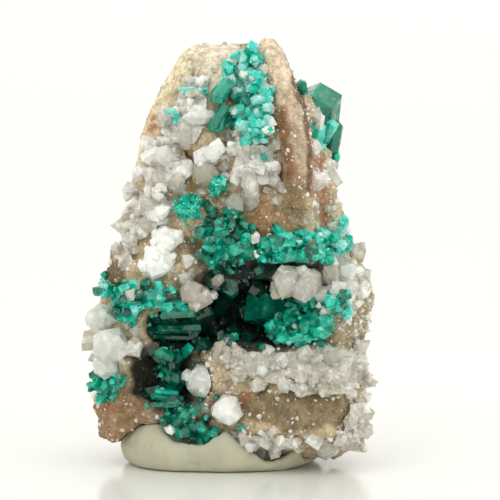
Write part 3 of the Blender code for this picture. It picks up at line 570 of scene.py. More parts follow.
def clear_finish(name, tint, painted_view_milk_glint, ior, clear_share, veiled):
    """Clear crystal with milky veils, and facets painted from see-through tan to a white glint, more in some
    crystals than in others.
    """
    finish = Finish(name)
    tone, whole = finish.number("tone"), finish.number("whole")
    cloud = finish.span(finish.grain(0.9), 0.40, 0.68)
    # Cells pick each facet's milky colour along the ramp, from the painted tan of the rock seen through to a
    # painted white glint; whole crystals have fewer.
    flake = (0.6 - 0.6 * whole) * finish.cells(0.62, output="Color")
    flake = flake + (0.4 + 0.2 * whole) * tone + 0.2 * whole
    bump = finish.bump(finish.grain(0.22, detail=2), 0.16, 0.03, finish.facets(0.7, 0.42))
    glass = finish.shader({
        "Base Color": (*tint, 1), "Roughness": 0.03 + 0.10 * cloud, "IOR": ior,
        "Transmission Weight": clear_share, "Normal": bump,
    })
    milky = finish.shader({
        "Base Color": finish.ramp(flake, *zip((0.16, 0.36, 0.62), painted_view_milk_glint)), "Roughness": 0.16, "IOR": ior,
        "Normal": bump,
    })
    share = veiled - 0.32 * whole + (1 - veiled) * finish.span(tone + 0.35 * cloud + 0.4 * flake, 0.55, 1.3)
    return finish.done(finish.node("ShaderNodeMixShader", None, {0: share, 1: glass, 2: milky}))


def quartz_finish(name):
    # The milky colour's ramp: painted tan of the rock seen through, then the milk, then a painted white
    # glint.
    painted_view_milk_glint = ((0.76, 0.65, 0.48), (0.94, 0.89, 0.78), (1.0, 0.99, 0.95))
    return clear_finish(name, (1.0, 0.985, 0.94), painted_view_milk_glint, 1.50, 0.97, 0.56)


def calcite_finish(name):
    # The milky colour's ramp, paler than quartz: painted see-through tone, then the milk, then a painted
    # white glint.
    painted_view_milk_glint = ((0.86, 0.90, 0.80), (0.97, 0.98, 0.91), (1.0, 1.0, 0.96))
    return clear_finish(name, (0.95, 0.98, 0.91), painted_view_milk_glint, 1.55, 0.9, 0.62)


def putty_finish(name):
    """Kneaded putty in two near tones, with dark specks and creases darkened as painted shade."""
    finish = Finish(name)
    base = bpy.context.scene.specimen_putty.colour
    dark, light, crease_shade = (tuple(share * c for c in base) for share in (0.90, 1.06, 0.55))
    cloud = finish.grain(3.0)
    crease = finish.number("crease")
    speck = finish.span(finish.cells(0.9), 0.16, 0.08) * finish.span(finish.grain(2.0), 0.52, 0.60)
    colour = finish.mix(finish.span(cloud, 0.35, 0.65), dark, light)
    colour = finish.mix(speck * 0.55, colour, (0.30, 0.27, 0.19))
    return finish.done(finish.shader({
        # Creases are darkened halfway toward a deeper tone: painted shade.
        "Base Color": finish.mix(crease * 0.5, colour, crease_shade),
        "Roughness": 0.58 + 0.15 * finish.span(cloud, 0.4, 0.6),
        "Normal": finish.bump(crease, -0.6, 0.12, finish.bump(finish.grain(0.7), 0.22, 0.08)),
        "Specular IOR Level": 0.4,
    }))


def floor_finish(name):
    finish = Finish(name)
    colour = [0.87 * c for c in bpy.context.scene.specimen_stage.backdrop]
    inputs = {"Base Color": (*colour, 1), "Roughness": 0.16, "Specular IOR Level": 0.35}
    return finish.done(finish.shader(inputs))


FINISHES = {
    "limestone": limestone_finish, "dioptase": dioptase_finish, "quartz": quartz_finish,
    "calcite": calcite_finish, "putty": putty_finish, "floor": floor_finish,
}


def finish_of(kind):
    """A finish by its kind, built the first time that it is asked for."""
    name = kind.capitalize()
    return bpy.data.materials.get(name) or FINISHES[kind](name)


def linked(name, mesh):
    made = bpy.data.objects.new(name, mesh)
    bpy.context.scene.collection.objects.link(made)
    return made


def copy_of(name, node):
    """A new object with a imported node's shape, its loose faces merged."""
    bm = bmesh.new()
    bm.from_mesh(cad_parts[node].data)
    bmesh.ops.remove_doubles(bm, verts=bm.verts, dist=1e-7)
    for layer in list(bm.verts.layers.float.values()):
        bm.verts.layers.float.remove(layer)
    mesh = bpy.data.meshes.new(name)
    bm.to_mesh(mesh)
    bm.free()
    mesh.materials.clear()
    shade_all(mesh, False)
    return linked(name, mesh)


def bake(obj):
    """Replaces an object's mesh and modifiers with what they make."""
    bpy.context.view_layer.update()
    mesh = bpy.data.meshes.new_from_object(obj.evaluated_get(bpy.context.evaluated_depsgraph_get()))
    obj.modifiers.clear()
    obj.data = mesh
    return obj


def remeshed(obj, voxel, smooth_steps=0):
    modifier = obj.modifiers.new("Skin", "REMESH")
    modifier.mode = "VOXEL"
    modifier.voxel_size = voxel
    if smooth_steps:
        smooth = obj.modifiers.new("Smooth", "SMOOTH")
        smooth.iterations = smooth_steps
        smooth.factor = 0.5
    return bake(obj)


def shade_all(mesh, smooth):
    """Shades every face smooth or flat."""
    mesh.polygons.foreach_set("use_smooth", [smooth] * len(mesh.polygons))


def settled(piece, slot, *nodes):
    """Fixes a finished piece to the frame, in place of the nodes that it stands for."""
    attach(piece, "root")
    if nodes:
        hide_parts(*nodes)
    return piece

# Model crystals stand on Z = 0 with their roots below it, and are one millimetre in radius before scaling.


def hull_mesh(name, points):
    bm = bmesh.new()
    for point in points:
        bm.verts.new(Vector(point) * MM)
    made = bmesh.ops.convex_hull(bm, input=bm.verts)
    inside = [v for v in made["geom_interior"] if isinstance(v, bmesh.types.BMVert)]
    bmesh.ops.delete(bm, geom=inside, context="VERTS")
    bmesh.ops.recalc_face_normals(bm, faces=bm.faces)
    mesh = bpy.data.meshes.new(name)
    bm.to_mesh(mesh)
    bm.free()
    return mesh


def crystal_mesh(name, above, below, slope, tops, uneven, seed):
    """A six-sided crystal with three or six sloping faces at its top."""
    chance = random.Random(seed)
    corners = []
    for k in range(6):
        angle = math.radians(60 * k) + chance.uniform(-1, 1) * uneven * 0.3
        reach = 1 + chance.uniform(-1, 1) * uneven
        corners.append((reach * math.cos(angle), reach * math.sin(angle)))
    points = [(chance.uniform(-1, 1) * uneven * 0.4, chance.uniform(-1, 1) * uneven * 0.4, above)]
    for k, (x, y) in enumerate(corners):
        drop = slope * (0.5 if tops == 3 and k % 2 else 1.0) * (1 + chance.uniform(-1, 1) * uneven)
        points += [(x, y, above - drop), (x, y, -below)]
    return hull_mesh(name, points)


def lump_mesh(name, above, below, seed):
    """A blocky broken lump: four uneven five-sided rings."""
    chance = random.Random(seed)
    points = []
    for level, width in ((-below, 0.8), (0.35 * above, 1.0), (0.8 * above, 0.85), (above, 0.45)):
        for k in range(5):
            angle = math.radians(72 * k) + chance.uniform(-0.4, 0.4)
            reach = width * chance.uniform(0.8, 1.15)
            height = level * chance.uniform(0.9, 1.0)
            points.append((reach * math.cos(angle), reach * math.sin(angle), height))
    return hull_mesh(name, points)


def block_mesh(name, above, below, seed):
    """A cleaved block: a leaning box with uneven corners."""
    chance = random.Random(seed)
    points = []
    for level in (-below, above):
        for x, y in ((-0.85, -0.7), (0.85, -0.7), (0.85, 0.7), (-0.85, 0.7)):
            off = [chance.uniform(-0.16, 0.16) for _ in range(3)]
            points.append((x + 0.22 * level + off[0], y + off[1], level * (1 + off[2])))
    return hull_mesh(name, points)


# Crystals that the growths copy, by kind: the shape, the heights of its models, and the shape's other sizes.
STOCK = {
    "dioptase": (crystal_mesh, (1.2, 1.8, 2.5, 1.5, 2.1, 2.9, 1.3, 1.9), (0.9, 0.95, 3, 0.20)),
    "block": (block_mesh, (0.8, 1.2, 1.0, 1.5), (0.8,)),
    "quartz": (crystal_mesh, (0.7, 1.1, 1.5, 0.9, 1.8, 0.6), (0.9, 1.0, 6, 0.24)),
    "lump": (lump_mesh, (0.7, 0.9, 1.1, 0.8), (0.8,)),
    "grain": (lump_mesh, (0.8, 1.1), (0.4,)),
}

# Crystals that are placed one by one, by kind: the shape and its sizes other than its height.
PLACED_SHAPES = {
    "prism": (crystal_mesh, (0.9, 0.95, 3, 0.12)),
    "needle": (crystal_mesh, (0.9, 0.95, 3, 0.12)),
    "quartz": (crystal_mesh, (0.9, 1.15, 6, 0.20)),
    "lump": (lump_mesh, (0.9,)),
}


def stock_of(kind):
    """The collection of model crystals of one kind, which the growths copy. It isn't shown."""
    found = bpy.data.collections.get("stock_" + kind)
    if found:
        return found
    made = bpy.data.collections.new("stock_" + kind)
    shape, heights, sizes = STOCK[kind]
    for k, above in enumerate(heights):
        name = f"stock_{kind}_{k}"
        made.objects.link(bpy.data.objects.new(name, shape(name, above, *sizes, k)))
    return made


# The growth tree's inputs, their kinds and their defaults.
GROWTH_INPUTS = (
    ("Stock", "Collection", None), ("Spacing", "Float", 1 * MM), ("Most", "Float", 1e6),
    ("Mask", "String", ""), ("Smallest", "Float", 0.2), ("Largest", "Float", 0.6),
    ("Favour small", "Float", 1.6), ("Lean", "Float", 0.5), ("Forward", "Float", 0.3),
    ("Tone low", "Float", 0.3), ("Tone high", "Float", 0.8), ("Keep ground", "Bool", False),
    ("Finish", "Material", None), ("Seed", "Int", 0),
)


def growth_tree():
    """The node tree that grows crystals out of a surface where a mask lets them."""
    found = bpy.data.node_groups.get("Crystal growth")
    if found:
        return found
    tree = bpy.data.node_groups.new("Crystal growth", "GeometryNodeTree")
    face = tree.interface
    face.new_socket("Geometry", in_out="INPUT", socket_type="NodeSocketGeometry")
    for name, kind, value in GROWTH_INPUTS:
        socket = face.new_socket(name, in_out="INPUT", socket_type="NodeSocket" + kind)
        if value is not None:
            socket.default_value = value
    face.new_socket("Geometry", in_out="OUTPUT", socket_type="NodeSocketGeometry")
    growth = NodeTree(tree)
    node, vector = growth.node, growth.vector
    given = {socket.name: Value(tree, socket) for socket in tree.nodes.new("NodeGroupInput").outputs}

    def chance(low, high, offset):
        """A number or a vector drawn between two others, for each point and offset anew."""
        vectors = isinstance(low, tuple)
        first = 0 if vectors else 2
        inputs = {first: low, first + 1: high, "Seed": given["Seed"] + offset}
        settings = {"data_type": "FLOAT_VECTOR" if vectors else "FLOAT"}
        return node("FunctionNodeRandomValue", settings, inputs, 0 if vectors else 1)

    mask = {"Name": given["Mask"]}
    mask = node("GeometryNodeInputNamedAttribute", {"data_type": "FLOAT"}, mask, "Attribute")
    spread = node("GeometryNodeDistributePointsOnFaces", {"distribute_method": "POISSON"}, {
        "Mesh": given["Geometry"], "Distance Min": given["Spacing"], "Density Max": given["Most"],
        "Density Factor": mask, "Seed": given["Seed"],
    }, "Points")
    lean = vector("SCALE", chance((-1, -1, -1), (1, 1, 1), 11), given["Lean"])
    forward = vector("SCALE", (0, -1, 0.15), given["Forward"])
    way = vector("ADD", vector("ADD", spread.other("Normal"), lean), forward)
    stand = node("FunctionNodeAlignRotationToVector", {"axis": "Z"}, {"Vector": way})
    spin = {"Axis": (0, 0, 1), "Angle": chance(0.0, FULL_TURN, 23)}
    spin = node("FunctionNodeAxisAngleToRotation", None, spin)
    turned = {"Rotation": stand, "Rotate By": spin}
    turned = node("FunctionNodeRotateRotation", {"rotation_space": "LOCAL"}, turned)
    share = {0: chance(0.0, 1.0, 37), 1: given["Favour small"]}
    share = node("ShaderNodeMath", {"operation": "POWER"}, share)
    size = {"Value": share, "To Min": given["Smallest"], "To Max": given["Largest"]}
    size = node("ShaderNodeMapRange", None, size)
    stock = {"Collection": given["Stock"], "Separate Children": True, "Reset Children": True}
    stock = node("GeometryNodeCollectionInfo", {"transform_space": "ORIGINAL"}, stock)
    copies = node("GeometryNodeInstanceOnPoints", None, {
        "Points": spread, "Instance": stock, "Pick Instance": True, "Rotation": turned, "Scale": size,
    })
    toned = {"Geometry": copies, "Name": "tone", "Value": chance(given["Tone low"], given["Tone high"], 53)}
    toned = node("GeometryNodeStoreNamedAttribute", {"data_type": "FLOAT", "domain": "INSTANCE"}, toned)
    real = node("GeometryNodeRealizeInstances", None, {"Geometry": toned})
    ground = {"Switch": given["Keep ground"], "True": given["Geometry"]}
    ground = node("GeometryNodeSwitch", {"input_type": "GEOMETRY"}, ground)
    both = node("GeometryNodeJoinGeometry", None, {0: real})
    tree.links.new(ground.socket, both.socket.node.inputs[0])
    whole = node("GeometryNodeRealizeInstances", None, {"Geometry": both})
    coated = node("GeometryNodeSetMaterial", None, {"Geometry": whole, "Material": given["Finish"]})
    node("NodeGroupOutput", None, {0: coated})
    return tree


def grow(ground, mask, kind, mineral, seed, spacing, sizes, tones, lean, forward, favour, keep_ground=False):
    """Grows small crystals of one kind out of a piece where its mask lets them, and bakes them."""
    crystals = bpy.context.scene.specimen_crystals
    choices = {
        "Stock": stock_of(kind), "Spacing": spacing * MM, "Most": MOST_CROWDED / (spacing * MM) ** 2,
        "Mask": mask, "Smallest": sizes[0] * crystals.size, "Largest": sizes[1] * crystals.size,
        "Favour small": favour, "Lean": lean, "Forward": forward, "Tone low": tones[0], "Tone high": tones[1],
        "Keep ground": keep_ground, "Finish": finish_of(mineral), "Seed": seed + crystals.seed,
    }
    tree = growth_tree()
    modifier = ground.modifiers.new("Growth", "NODES")
    modifier.node_group = tree
    for item in tree.interface.items_tree:
        if item.name in choices:
            modifier[item.identifier] = choices[item.name]
    bake(ground)
    ground.data.materials.clear()
    ground.data.materials.append(choices["Finish"])
    return ground


def grown_on_rock(name, mask, kind, mineral, seed, spacing, sizes, tones, lean=0.6, forward=0.35):
    """A layer of small crystals on the rock where a mask lets them grow."""
    layer = linked(name, bpy.data.objects["limestone"].data.copy())
    grow(layer, mask, kind, mineral, seed, spacing, sizes, tones, lean, forward, favour=1.6)
    return settled(layer, mineral)


def put_tones(mesh, tones, spacing, seed):
    """Stores tones that drift between two, in patches about a spacing apart."""
    patch = 0.5 + 0.5 * waver(places_of(mesh), spacing, seed)
    put_numbers(mesh, "tone", tones[0] + (tones[1] - tones[0]) * patch)


def grown_on_node(
    node, kind, mineral, seed, spacing, sizes, tones, lean=0.55, favour=1.5, edge=0.5, bare=False,
):
    """A node's own large crystals with small ones all over them, or the small ones alone."""
    piece = copy_of(node + ("_clear" if bare else "_crystals"), node)
    put_tones(piece.data, tones, 1.2 * MM, seed)
    normals = normals_of(piece.data)
    front = smooth_step(edge, edge - 0.6, normals[:, 1])
    put_numbers(piece.data, "open", front * smooth_step(-0.8, -0.3, normals[:, 2]))
    grow(
        piece, "open", kind, mineral, seed, spacing, sizes, tones, lean, forward=0.25, favour=favour,
        keep_ground=not bare,
    )
    return settled(piece, mineral, *(() if bare else (node,)))


def paint_rock(mesh):
    """Stores what each part of the rock's surface is, from where it is seen from the front."""
    places, normals = places_of(mesh), normals_of(mesh)
    wobble = [waver(places, 1.3 * MM, k) + 0.5 * waver(places, 0.5 * MM, k + 5) for k in (1, 2)]
    seen = in_picture(places) + 2.6 * np.stack(wobble, axis=1)
    clear_of_putty = smooth_step(2.2 * MM, 3.6 * MM, places[:, 2])
    front = smooth_step(0.35, -0.10, normals[:, 1]) * smooth_step(5.5 * MM, 2.5 * MM, places[:, 1])
    amounts = {name: covered(seen, soft, outline) * front for name, (soft, outline) in AREAS.items()}

    def most(areas):
        return np.max([covered(seen, soft, outline) for soft, outline in areas], axis=0) * front

    clear, fine, green = most(CLEAR_AREAS), most(FINE_AREAS), most(GREEN_AREAS)
    clear *= smooth_step(0.30, -0.20, normals[:, 1])
    smooth = np.max([amounts[name] for name in BARE_AREAS], axis=0)
    vug, hollow = amounts["vug"], amounts["hollow"]
    inner = np.maximum(vug, hollow)
    stain = np.clip(sum(amounts[name] for name in STAINS), 0, 1)
    clear, fine = clear * (1 - 0.6 * stain), fine * (1 - 0.8 * stain)
    patch = smooth_step(-0.25, 0.35, waver(places, 2.6 * MM, 21))
    speckle = smooth_step(-0.1, 0.5, waver(places, 1.5 * MM, 22))
    around = smooth_step(0.30, 0.75, 0.5 + 0.5 * waver(places, 6.5 * MM, 23)) * (1 - front)
    sugar = (0.25 + 0.75 * speckle) * front * (1 - inner) * (1 - 0.75 * smooth) + 0.30 * around
    numbers = {name: amount for name, amount in amounts.items() if name not in STAINS + EARTHS}
    numbers |= {
        "stain": stain,
        "earth": np.clip(sum(amounts[name] for name in EARTHS), 0, 1) * 0.85,
        "pale": np.clip(np.maximum(clear, fine) * (1 - inner) + 0.3 * around * patch, 0, 1),
        "clear": clear * (1 - smooth) * (1 - vug) * (0.35 + 0.65 * patch) * clear_of_putty,
        "fine": np.clip(fine * (1 - 0.9 * smooth) + 0.16 * front, 0, 1) * (1 - inner) * clear_of_putty,
        "green": green * (1 - 0.95 * smooth) * (0.25 + 0.75 * speckle) * (1 - vug),
        "deep": np.maximum(vug, 0.4 * hollow),
        "sugar": np.clip(sugar, 0, 1),
        "side": around * (0.3 + 0.7 * speckle) * (1 - front) * clear_of_putty,
    }
    for name, amount in numbers.items():
        put_numbers(mesh, name, amount)
    return smooth


class SPECIMEN_OT_rock(bpy.types.Operator):
    """Builds the broken limestone with its areas of different stone"""

    bl_idname = "specimen.rock"
    bl_label = "Limestone"

    def execute(self, context):
        rock = context.scene.specimen_rock
        piece = remeshed(copy_of("limestone", "limestone_rock"), rock.voxel)
        mesh = piece.data
        rough = 1 - 0.72 * paint_rock(mesh)
        places, normals = places_of(mesh), normals_of(mesh)
        bent = places + 0.3 * MM * waver(places, 1 * MM, 3)[:, None]
        first, second, number, slant = chips(bent, CHIP, 31)
        facet = (number - 0.5) * 1.1 - 0.55 * smooth_step(0.16, 0.0, second - first) + 0.8 * slant
        first, second, number, slant = chips(places, FLAKE, 41)
        flaked = facet + 0.5 * (number - 0.5) + 0.4 * slant - 0.25 * smooth_step(0.14, 0, second - first)
        height = rough * flaked + (0.35 * waver(places, 0.9 * MM, 51) + 0.2 * waver(places, 0.45 * MM, 52))
        first, second, number, slant = chips(places, LEDGE, 71)
        ledge = 3.6 * slant + 0.8 * (number - 0.5) - 1.1 * smooth_step(0.08, 0.0, second - first)
        behind = smooth_step(-0.1, 0.4, normals[:, 1])
        height = np.clip(height + behind * (ledge + 0.5 * facet - 0.5), LOWEST, HIGHEST)
        places += normals * (rock.swell + rock.relief * height)[:, None]
        put_places(mesh, places)
        shade_all(mesh, True)
        mesh.materials.append(finish_of("limestone"))
        settled(piece, "limestone", "limestone_rock")
        return {"FINISHED"}


class SPECIMEN_OT_putty(bpy.types.Operator):
    """Builds the kneaded putty that holds the rock, with its creases"""

    bl_idname = "specimen.putty"
    bl_label = "Putty"

    def execute(self, context):
        putty = context.scene.specimen_putty
        piece = remeshed(copy_of("putty", "mounting_putty"), putty.voxel, PUTTY_SMOOTHING)
        mesh = piece.data
        places, normals = places_of(mesh), normals_of(mesh)
        bent = places[:, 2] + (0.9 * MM * waver(places, 5 * MM, 61) + 0.3 * MM * waver(places, 1.6 * MM, 62))
        line = np.abs((bent / CREASE) % 1 - 0.5)
        crease = smooth_step(0.10, 0.0, line) * smooth_step(0.05, 0.35, waver(places, 4 * MM, 63))
        crease *= smooth_step(3.4 * MM, 1.6 * MM, places[:, 2]) * smooth_step(0.9, 0.3, np.abs(normals[:, 2]))
        put_numbers(mesh, "crease", crease)
        lift = 0.10 * waver(places, 2.4 * MM, 64) + 0.05 * waver(places, 0.9 * MM, 65) - 0.10 * crease
        off_floor = smooth_step(0.2 * MM, 0.9 * MM, places[:, 2])
        rise = PUTTY_RISE * smooth_step(-2 * MM, 3 * MM, places[:, 0])
        places[:, 2] += rise * smooth_step(1 * MM, 3 * MM, places[:, 2])
        places += normals * (PUTTY_BULGE + lift * MM)[:, None] * off_floor[:, None]
        places[:, 2] = np.maximum(places[:, 2], 0)
        put_places(mesh, places)
        shade_all(mesh, True)
        mesh.materials.append(finish_of("putty"))
        settled(piece, "putty", "mounting_putty")
        return {"FINISHED"}


# The crusts, by node: space between small crystals, their least and greatest radius, both in millimetres, and
# their tones.
DIOPTASE = {
    "dioptase_crest": (0.72, (0.18, 0.80), (0.62, 1.12)),
    "dioptase_middle": (0.80, (0.22, 0.85), (0.12, 0.62)),
    "dioptase_right_band": (0.80, (0.22, 0.85), (0.28, 0.86)),
    "dioptase_far_band": (0.72, (0.20, 0.75), (0.62, 1.12)),
    "dioptase_left_mass": (0.76, (0.22, 0.80), (0.24, 0.84)),
    "dioptase_vug_mass": (1.00, (0.30, 1.00), (0.30, 0.92)),
    "dioptase_low_left": (0.80, (0.25, 0.62), (0.30, 0.72)),
    "dioptase_hollow": (0.95, (0.30, 0.80), (0.12, 0.68)),
    "dioptase_foot": (0.90, (0.30, 0.80), (0.16, 0.62)),
    "dioptase_ball_left": (0.34, (0.13, 0.28), (0.52, 0.85)),
    "dioptase_ball_right": (0.32, (0.12, 0.25), (0.52, 0.85)),
}
QUARTZ = {
    "quartz_upper_left": (1.1, (0.3, 1.2), (0.0, 1.05)),
    "quartz_left": (1.05, (0.3, 1.3), (0.0, 1.1)),
    "quartz_left_low": (1.05, (0.3, 1.2), (0.0, 1.1)),
    "quartz_middle": (1.0, (0.3, 1.2), (0.0, 1.1)),
    "quartz_right_mix": (1.0, (0.3, 1.2), (0.2, 1.1)),
    "quartz_shelf": (0.44, (0.10, 0.46), (0.05, 0.55)),
    "quartz_right_toe": (0.9, (0.25, 0.9), (0.0, 0.55)),
    "quartz_sill": (0.85, (0.22, 0.70), (0.0, 0.8)),
}

# The lumps, by node: mineral and kind of crystal, and then as the crusts.
LUMPS = {
    "quartz_ball": ("quartz", "lump", 1.9, (0.4, 1.0), (0.1, 0.6)),
    "quartz_centre": ("quartz", "block", 2.0, (0.5, 1.1), (0.1, 0.8)),
    "quartz_tongue": ("quartz", "lump", 2.0, (0.5, 1.1), (0.0, 0.45)),
    "quartz_toe_lump": ("quartz", "lump", 1.8, (0.4, 0.9), (0.1, 0.7)),
    "calcite_white": ("calcite", "lump", 1.1, (0.4, 1.1), (0.9, 1.2)),
    "calcite_left_block": ("calcite", "block", 3.0, (0.2, 0.5), (0.15, 0.6)),
    "calcite_upper": ("calcite", "block", 1.7, (0.5, 1.1), (0.5, 1.0)),
    "calcite_low": ("calcite", "lump", 2.2, (0.3, 0.8), (0.2, 0.7)),
    "calcite_pale_block": ("calcite", "block", 2.2, (0.3, 0.7), (0.7, 1.0)),
}

# Clear crystals among the dioptase, by node: space between them in millimetres.
CLEAR_AMONG = {
    "dioptase_crest": 1.1, "dioptase_right_band": 1.8, "dioptase_far_band": 1.3, "dioptase_left_mass": 2.0,
    "dioptase_vug_mass": 2.6, "dioptase_foot": 1.9, "dioptase_middle": 2.0,
}

# The large dioptase crystals, by node: their tones.
LARGE_DIOPTASE = {
    "dioptase_crown": (0.26, 0.42),
    "dioptase_drop_upper": (0.30, 0.56),
    "dioptase_drop_lower": (0.26, 0.50),
    "dioptase_vug_blade": (0.38, 0.52),
    # The prisms in the vug are darker: painted shade of the cavity.
    "dioptase_vug_prisms": (0.12, 0.30),
}

# Crystals that are placed one by one: kind, where the foot is seen, which way it points (right, down and
# toward the viewer), radius and length in millimetres, and tone.
PLACED_DIOPTASE = (
    ("prism", (226, 86), (-0.55, 0.8, 0.45), 0.8, 2.6, 0.44),
    ("prism", (222, 112), (-0.5, 0.85, 0.45), 0.8, 2.8, 0.36),
    ("needle", (206, 89), (-1.0, 0.02, 0.06), 0.24, 3.3, 0.95),
    ("needle", (206, 93), (-1.0, 0.04, 0.08), 0.18, 2.8, 0.74),
    ("prism", (178, 116), (-0.5, -0.6, 0.8), 0.42, 1.3, 0.92),
    ("prism", (174, 111), (-0.9, 0.1, 0.7), 0.36, 1.1, 0.88),
    ("prism", (176, 118), (-0.2, 0.8, 0.7), 0.32, 1.0, 0.95),
    ("prism", (218, 254), (-0.45, 0.85, 0.5), 0.52, 2.3, 0.55),
    ("prism", (336, 160), (0.2, -0.5, 0.8), 0.42, 1.2, 0.75),
    ("prism", (318, 140), (0.1, -0.9, 0.6), 0.75, 2.2, 0.8),
    ("prism", (328, 136), (0.3, -0.8, 0.6), 0.65, 2.4, 0.88),
    ("prism", (320, 126), (-0.3, -0.7, 0.7), 0.55, 1.8, 0.92),
    ("prism", (303, 92), (-0.1, -0.6, 0.7), 0.55, 2.0, 0.4),
    ("prism", (166, 355), (-0.6, -0.2, 0.8), 0.75, 1.9, 0.34),
    ("prism", (176, 380), (0.2, -0.3, 0.9), 0.85, 2.0, 0.28),
    ("prism", (184, 352), (0.5, -0.5, 0.8), 0.6, 1.8, 0.6),
    ("needle", (180, 398), (-1.0, -0.1, 0.2), 0.42, 3.6, 0.55),
    ("needle", (178, 404), (-1.0, 0.0, 0.25), 0.36, 3.3, 0.35),
    ("needle", (176, 393), (-0.95, -0.12, 0.2), 0.3, 2.6, 0.7),
    ("prism", (240, 428), (0.5, 0.1, 0.8), 0.36, 1.0, 0.9),
    ("needle", (196, 328), (-1.0, 0.04, 0.22), 0.55, 4.6, 0.22),
    ("needle", (190, 314), (-1.0, 0.06, 0.25), 0.42, 3.6, 0.3),
    ("needle", (186, 337), (-1.0, -0.05, 0.2), 0.38, 4.0, 0.16),
    ("prism", (262, 156), (0.4, 0.2, 0.8), 0.34, 1.0, 0.62),
    ("prism", (206, 205), (0.4, 0.5, 0.8), 0.55, 1.6, 0.3),
    ("prism", (214, 212), (-0.2, 0.4, 0.9), 0.5, 1.5, 0.24),
)
PLACED_QUARTZ = (
    ("quartz", (205, 117), (-0.95, 0.05, 0.45), 0.95, 3.0, 0.75),
    ("quartz", (168, 158), (-0.6, -0.5, 0.7), 0.95, 2.4, 0.85),
    ("lump", (212, 156), (0.1, -0.3, 0.9), 1.05, 1.6, 0.85),
    ("lump", (206, 172), (-0.1, 0.1, 0.95), 1.75, 2.0, 0.2),
    ("lump", (236, 203), (-0.2, 0.0, 0.95), 1.25, 1.7, 0.15),
    ("quartz", (246, 202), (0.7, 0.2, 0.7), 0.85, 2.0, 0.35),
    ("lump", (191, 290), (0.0, 0.1, 0.95), 1.55, 2.0, 0.1),
    ("quartz", (216, 281), (0.4, -0.3, 0.8), 0.75, 1.9, 0.1),
    ("lump", (262, 451), (0.0, 0.2, 0.9), 1.3, 1.3, 0.6),
    ("lump", (250, 446), (-0.1, 0.1, 0.9), 0.9, 1.0, 0.8),
    ("lump", (287, 281), (-0.5, 0.0, 0.9), 2.0, 1.6, 0.45),
    ("lump", (304, 286), (0.2, 0.1, 0.9), 1.9, 1.5, 0.4),
    ("quartz", (322, 296), (0.2, -0.2, 0.9), 1.2, 1.8, 0.8),
    ("lump", (338, 290), (0.2, 0.0, 0.9), 1.2, 1.4, 0.7),
    ("quartz", (346, 272), (0.4, -0.3, 0.8), 1.0, 1.8, 0.9),
    ("lump", (326, 312), (0.1, 0.2, 0.9), 1.0, 1.2, 0.8),
    ("quartz", (250, 180), (0.1, 0.6, 0.75), 1.0, 2.6, 0.45),
    ("quartz", (258, 166), (0.3, 0.5, 0.8), 0.85, 2.2, 0.7),
    ("quartz", (320, 125), (0.1, -0.8, 0.7), 0.55, 1.7, 0.9),
    ("lump", (160, 196), (-0.2, 0.1, 0.9), 0.65, 1.0, 0.95),
    ("quartz", (150, 205), (-0.6, -0.2, 0.8), 0.85, 1.8, 0.3),
    ("quartz", (186, 140), (-0.3, -0.6, 0.8), 0.9, 1.9, 0.3),
    ("quartz", (178, 180), (0.3, -0.3, 0.9), 0.95, 1.8, 0.25),
    ("quartz", (330, 275), (0.3, -0.4, 0.8), 1.1, 2.2, 0.2),
    ("lump", (342, 262), (0.1, -0.1, 0.9), 1.1, 1.5, 0.15),
    ("lump", (262, 372), (0.0, -0.4, 0.9), 0.85, 1.2, 0.95),
    ("lump", (282, 362), (0.0, -0.5, 0.9), 0.95, 1.3, 0.6),
    ("quartz", (304, 356), (0.2, -0.7, 0.7), 0.95, 2.0, 0.45),
    ("quartz", (332, 360), (0.3, -0.6, 0.7), 0.85, 1.8, 0.35),
    ("lump", (325, 446), (0.1, 0.2, 0.9), 1.5, 1.6, 0.25),
    ("quartz", (218, 352), (0.3, -0.7, 0.6), 0.75, 2.0, 0.1),
    ("quartz", (130, 240), (-0.3, -0.4, 0.8), 0.75, 1.6, 0.5),
    ("quartz", (145, 225), (0.2, -0.3, 0.9), 0.7, 1.4, 0.15),
)


def seeded(table, first_seed):
    """Each node of a table with its row and a seed of its own."""
    return [(first_seed + k * SEED_STEP, node, row) for k, (node, row) in enumerate(table.items())]


class SPECIMEN_OT_dioptase(bpy.types.Operator):
    """Grows the crusts and balls of small dioptase crystals on their large ones"""

    bl_idname = "specimen.dioptase"
    bl_label = "Dioptase crusts"

    def execute(self, context):
        for seed, node, (spacing, sizes, tones) in seeded(DIOPTASE, 0):
            grown_on_node(node, "dioptase", "dioptase", seed, spacing, sizes, tones)
        for seed, node, spacing in seeded(CLEAR_AMONG, 800):
            grown_on_node(node, "quartz", "quartz", seed, spacing, (0.3, 0.8), (0.2, 1.0), bare=True)
        return {"FINISHED"}


class SPECIMEN_OT_large_dioptase(bpy.types.Operator):
    """Builds the large single dioptase crystals"""

    bl_idname = "specimen.large_dioptase"
    bl_label = "Large dioptase"

    def execute(self, context):
        for seed, (node, tones) in enumerate(LARGE_DIOPTASE.items()):
            piece = copy_of(node + "_crystals", node)
            put_tones(piece.data, tones, 2 * MM, seed)
            put_numbers(piece.data, "whole", np.ones(len(piece.data.vertices)))
            piece.data.materials.append(finish_of("dioptase"))
            settled(piece, "dioptase", node)
        return {"FINISHED"}


class SPECIMEN_OT_quartz(bpy.types.Operator):
    """Grows the crusts of quartz crystals"""

    bl_idname = "specimen.quartz"
    bl_label = "Quartz crusts"

    def execute(self, context):
        for seed, node, (spacing, sizes, tones) in seeded(QUARTZ, 200):
            grown_on_node(
                node, "quartz", "quartz", seed, spacing, sizes, tones, lean=0.9, favour=2.0, edge=0.3,
            )
        return {"FINISHED"}


class SPECIMEN_OT_lumps(bpy.types.Operator):
    """Builds the clear and milky lumps of quartz and calcite"""

    bl_idname = "specimen.lumps"
    bl_label = "Lumps"

    def execute(self, context):
        for seed, node, (mineral, kind, spacing, sizes, tones) in seeded(LUMPS, 400):
            grown_on_node(node, kind, mineral, seed, spacing, sizes, tones, lean=0.5, edge=0.3)
        return {"FINISHED"}


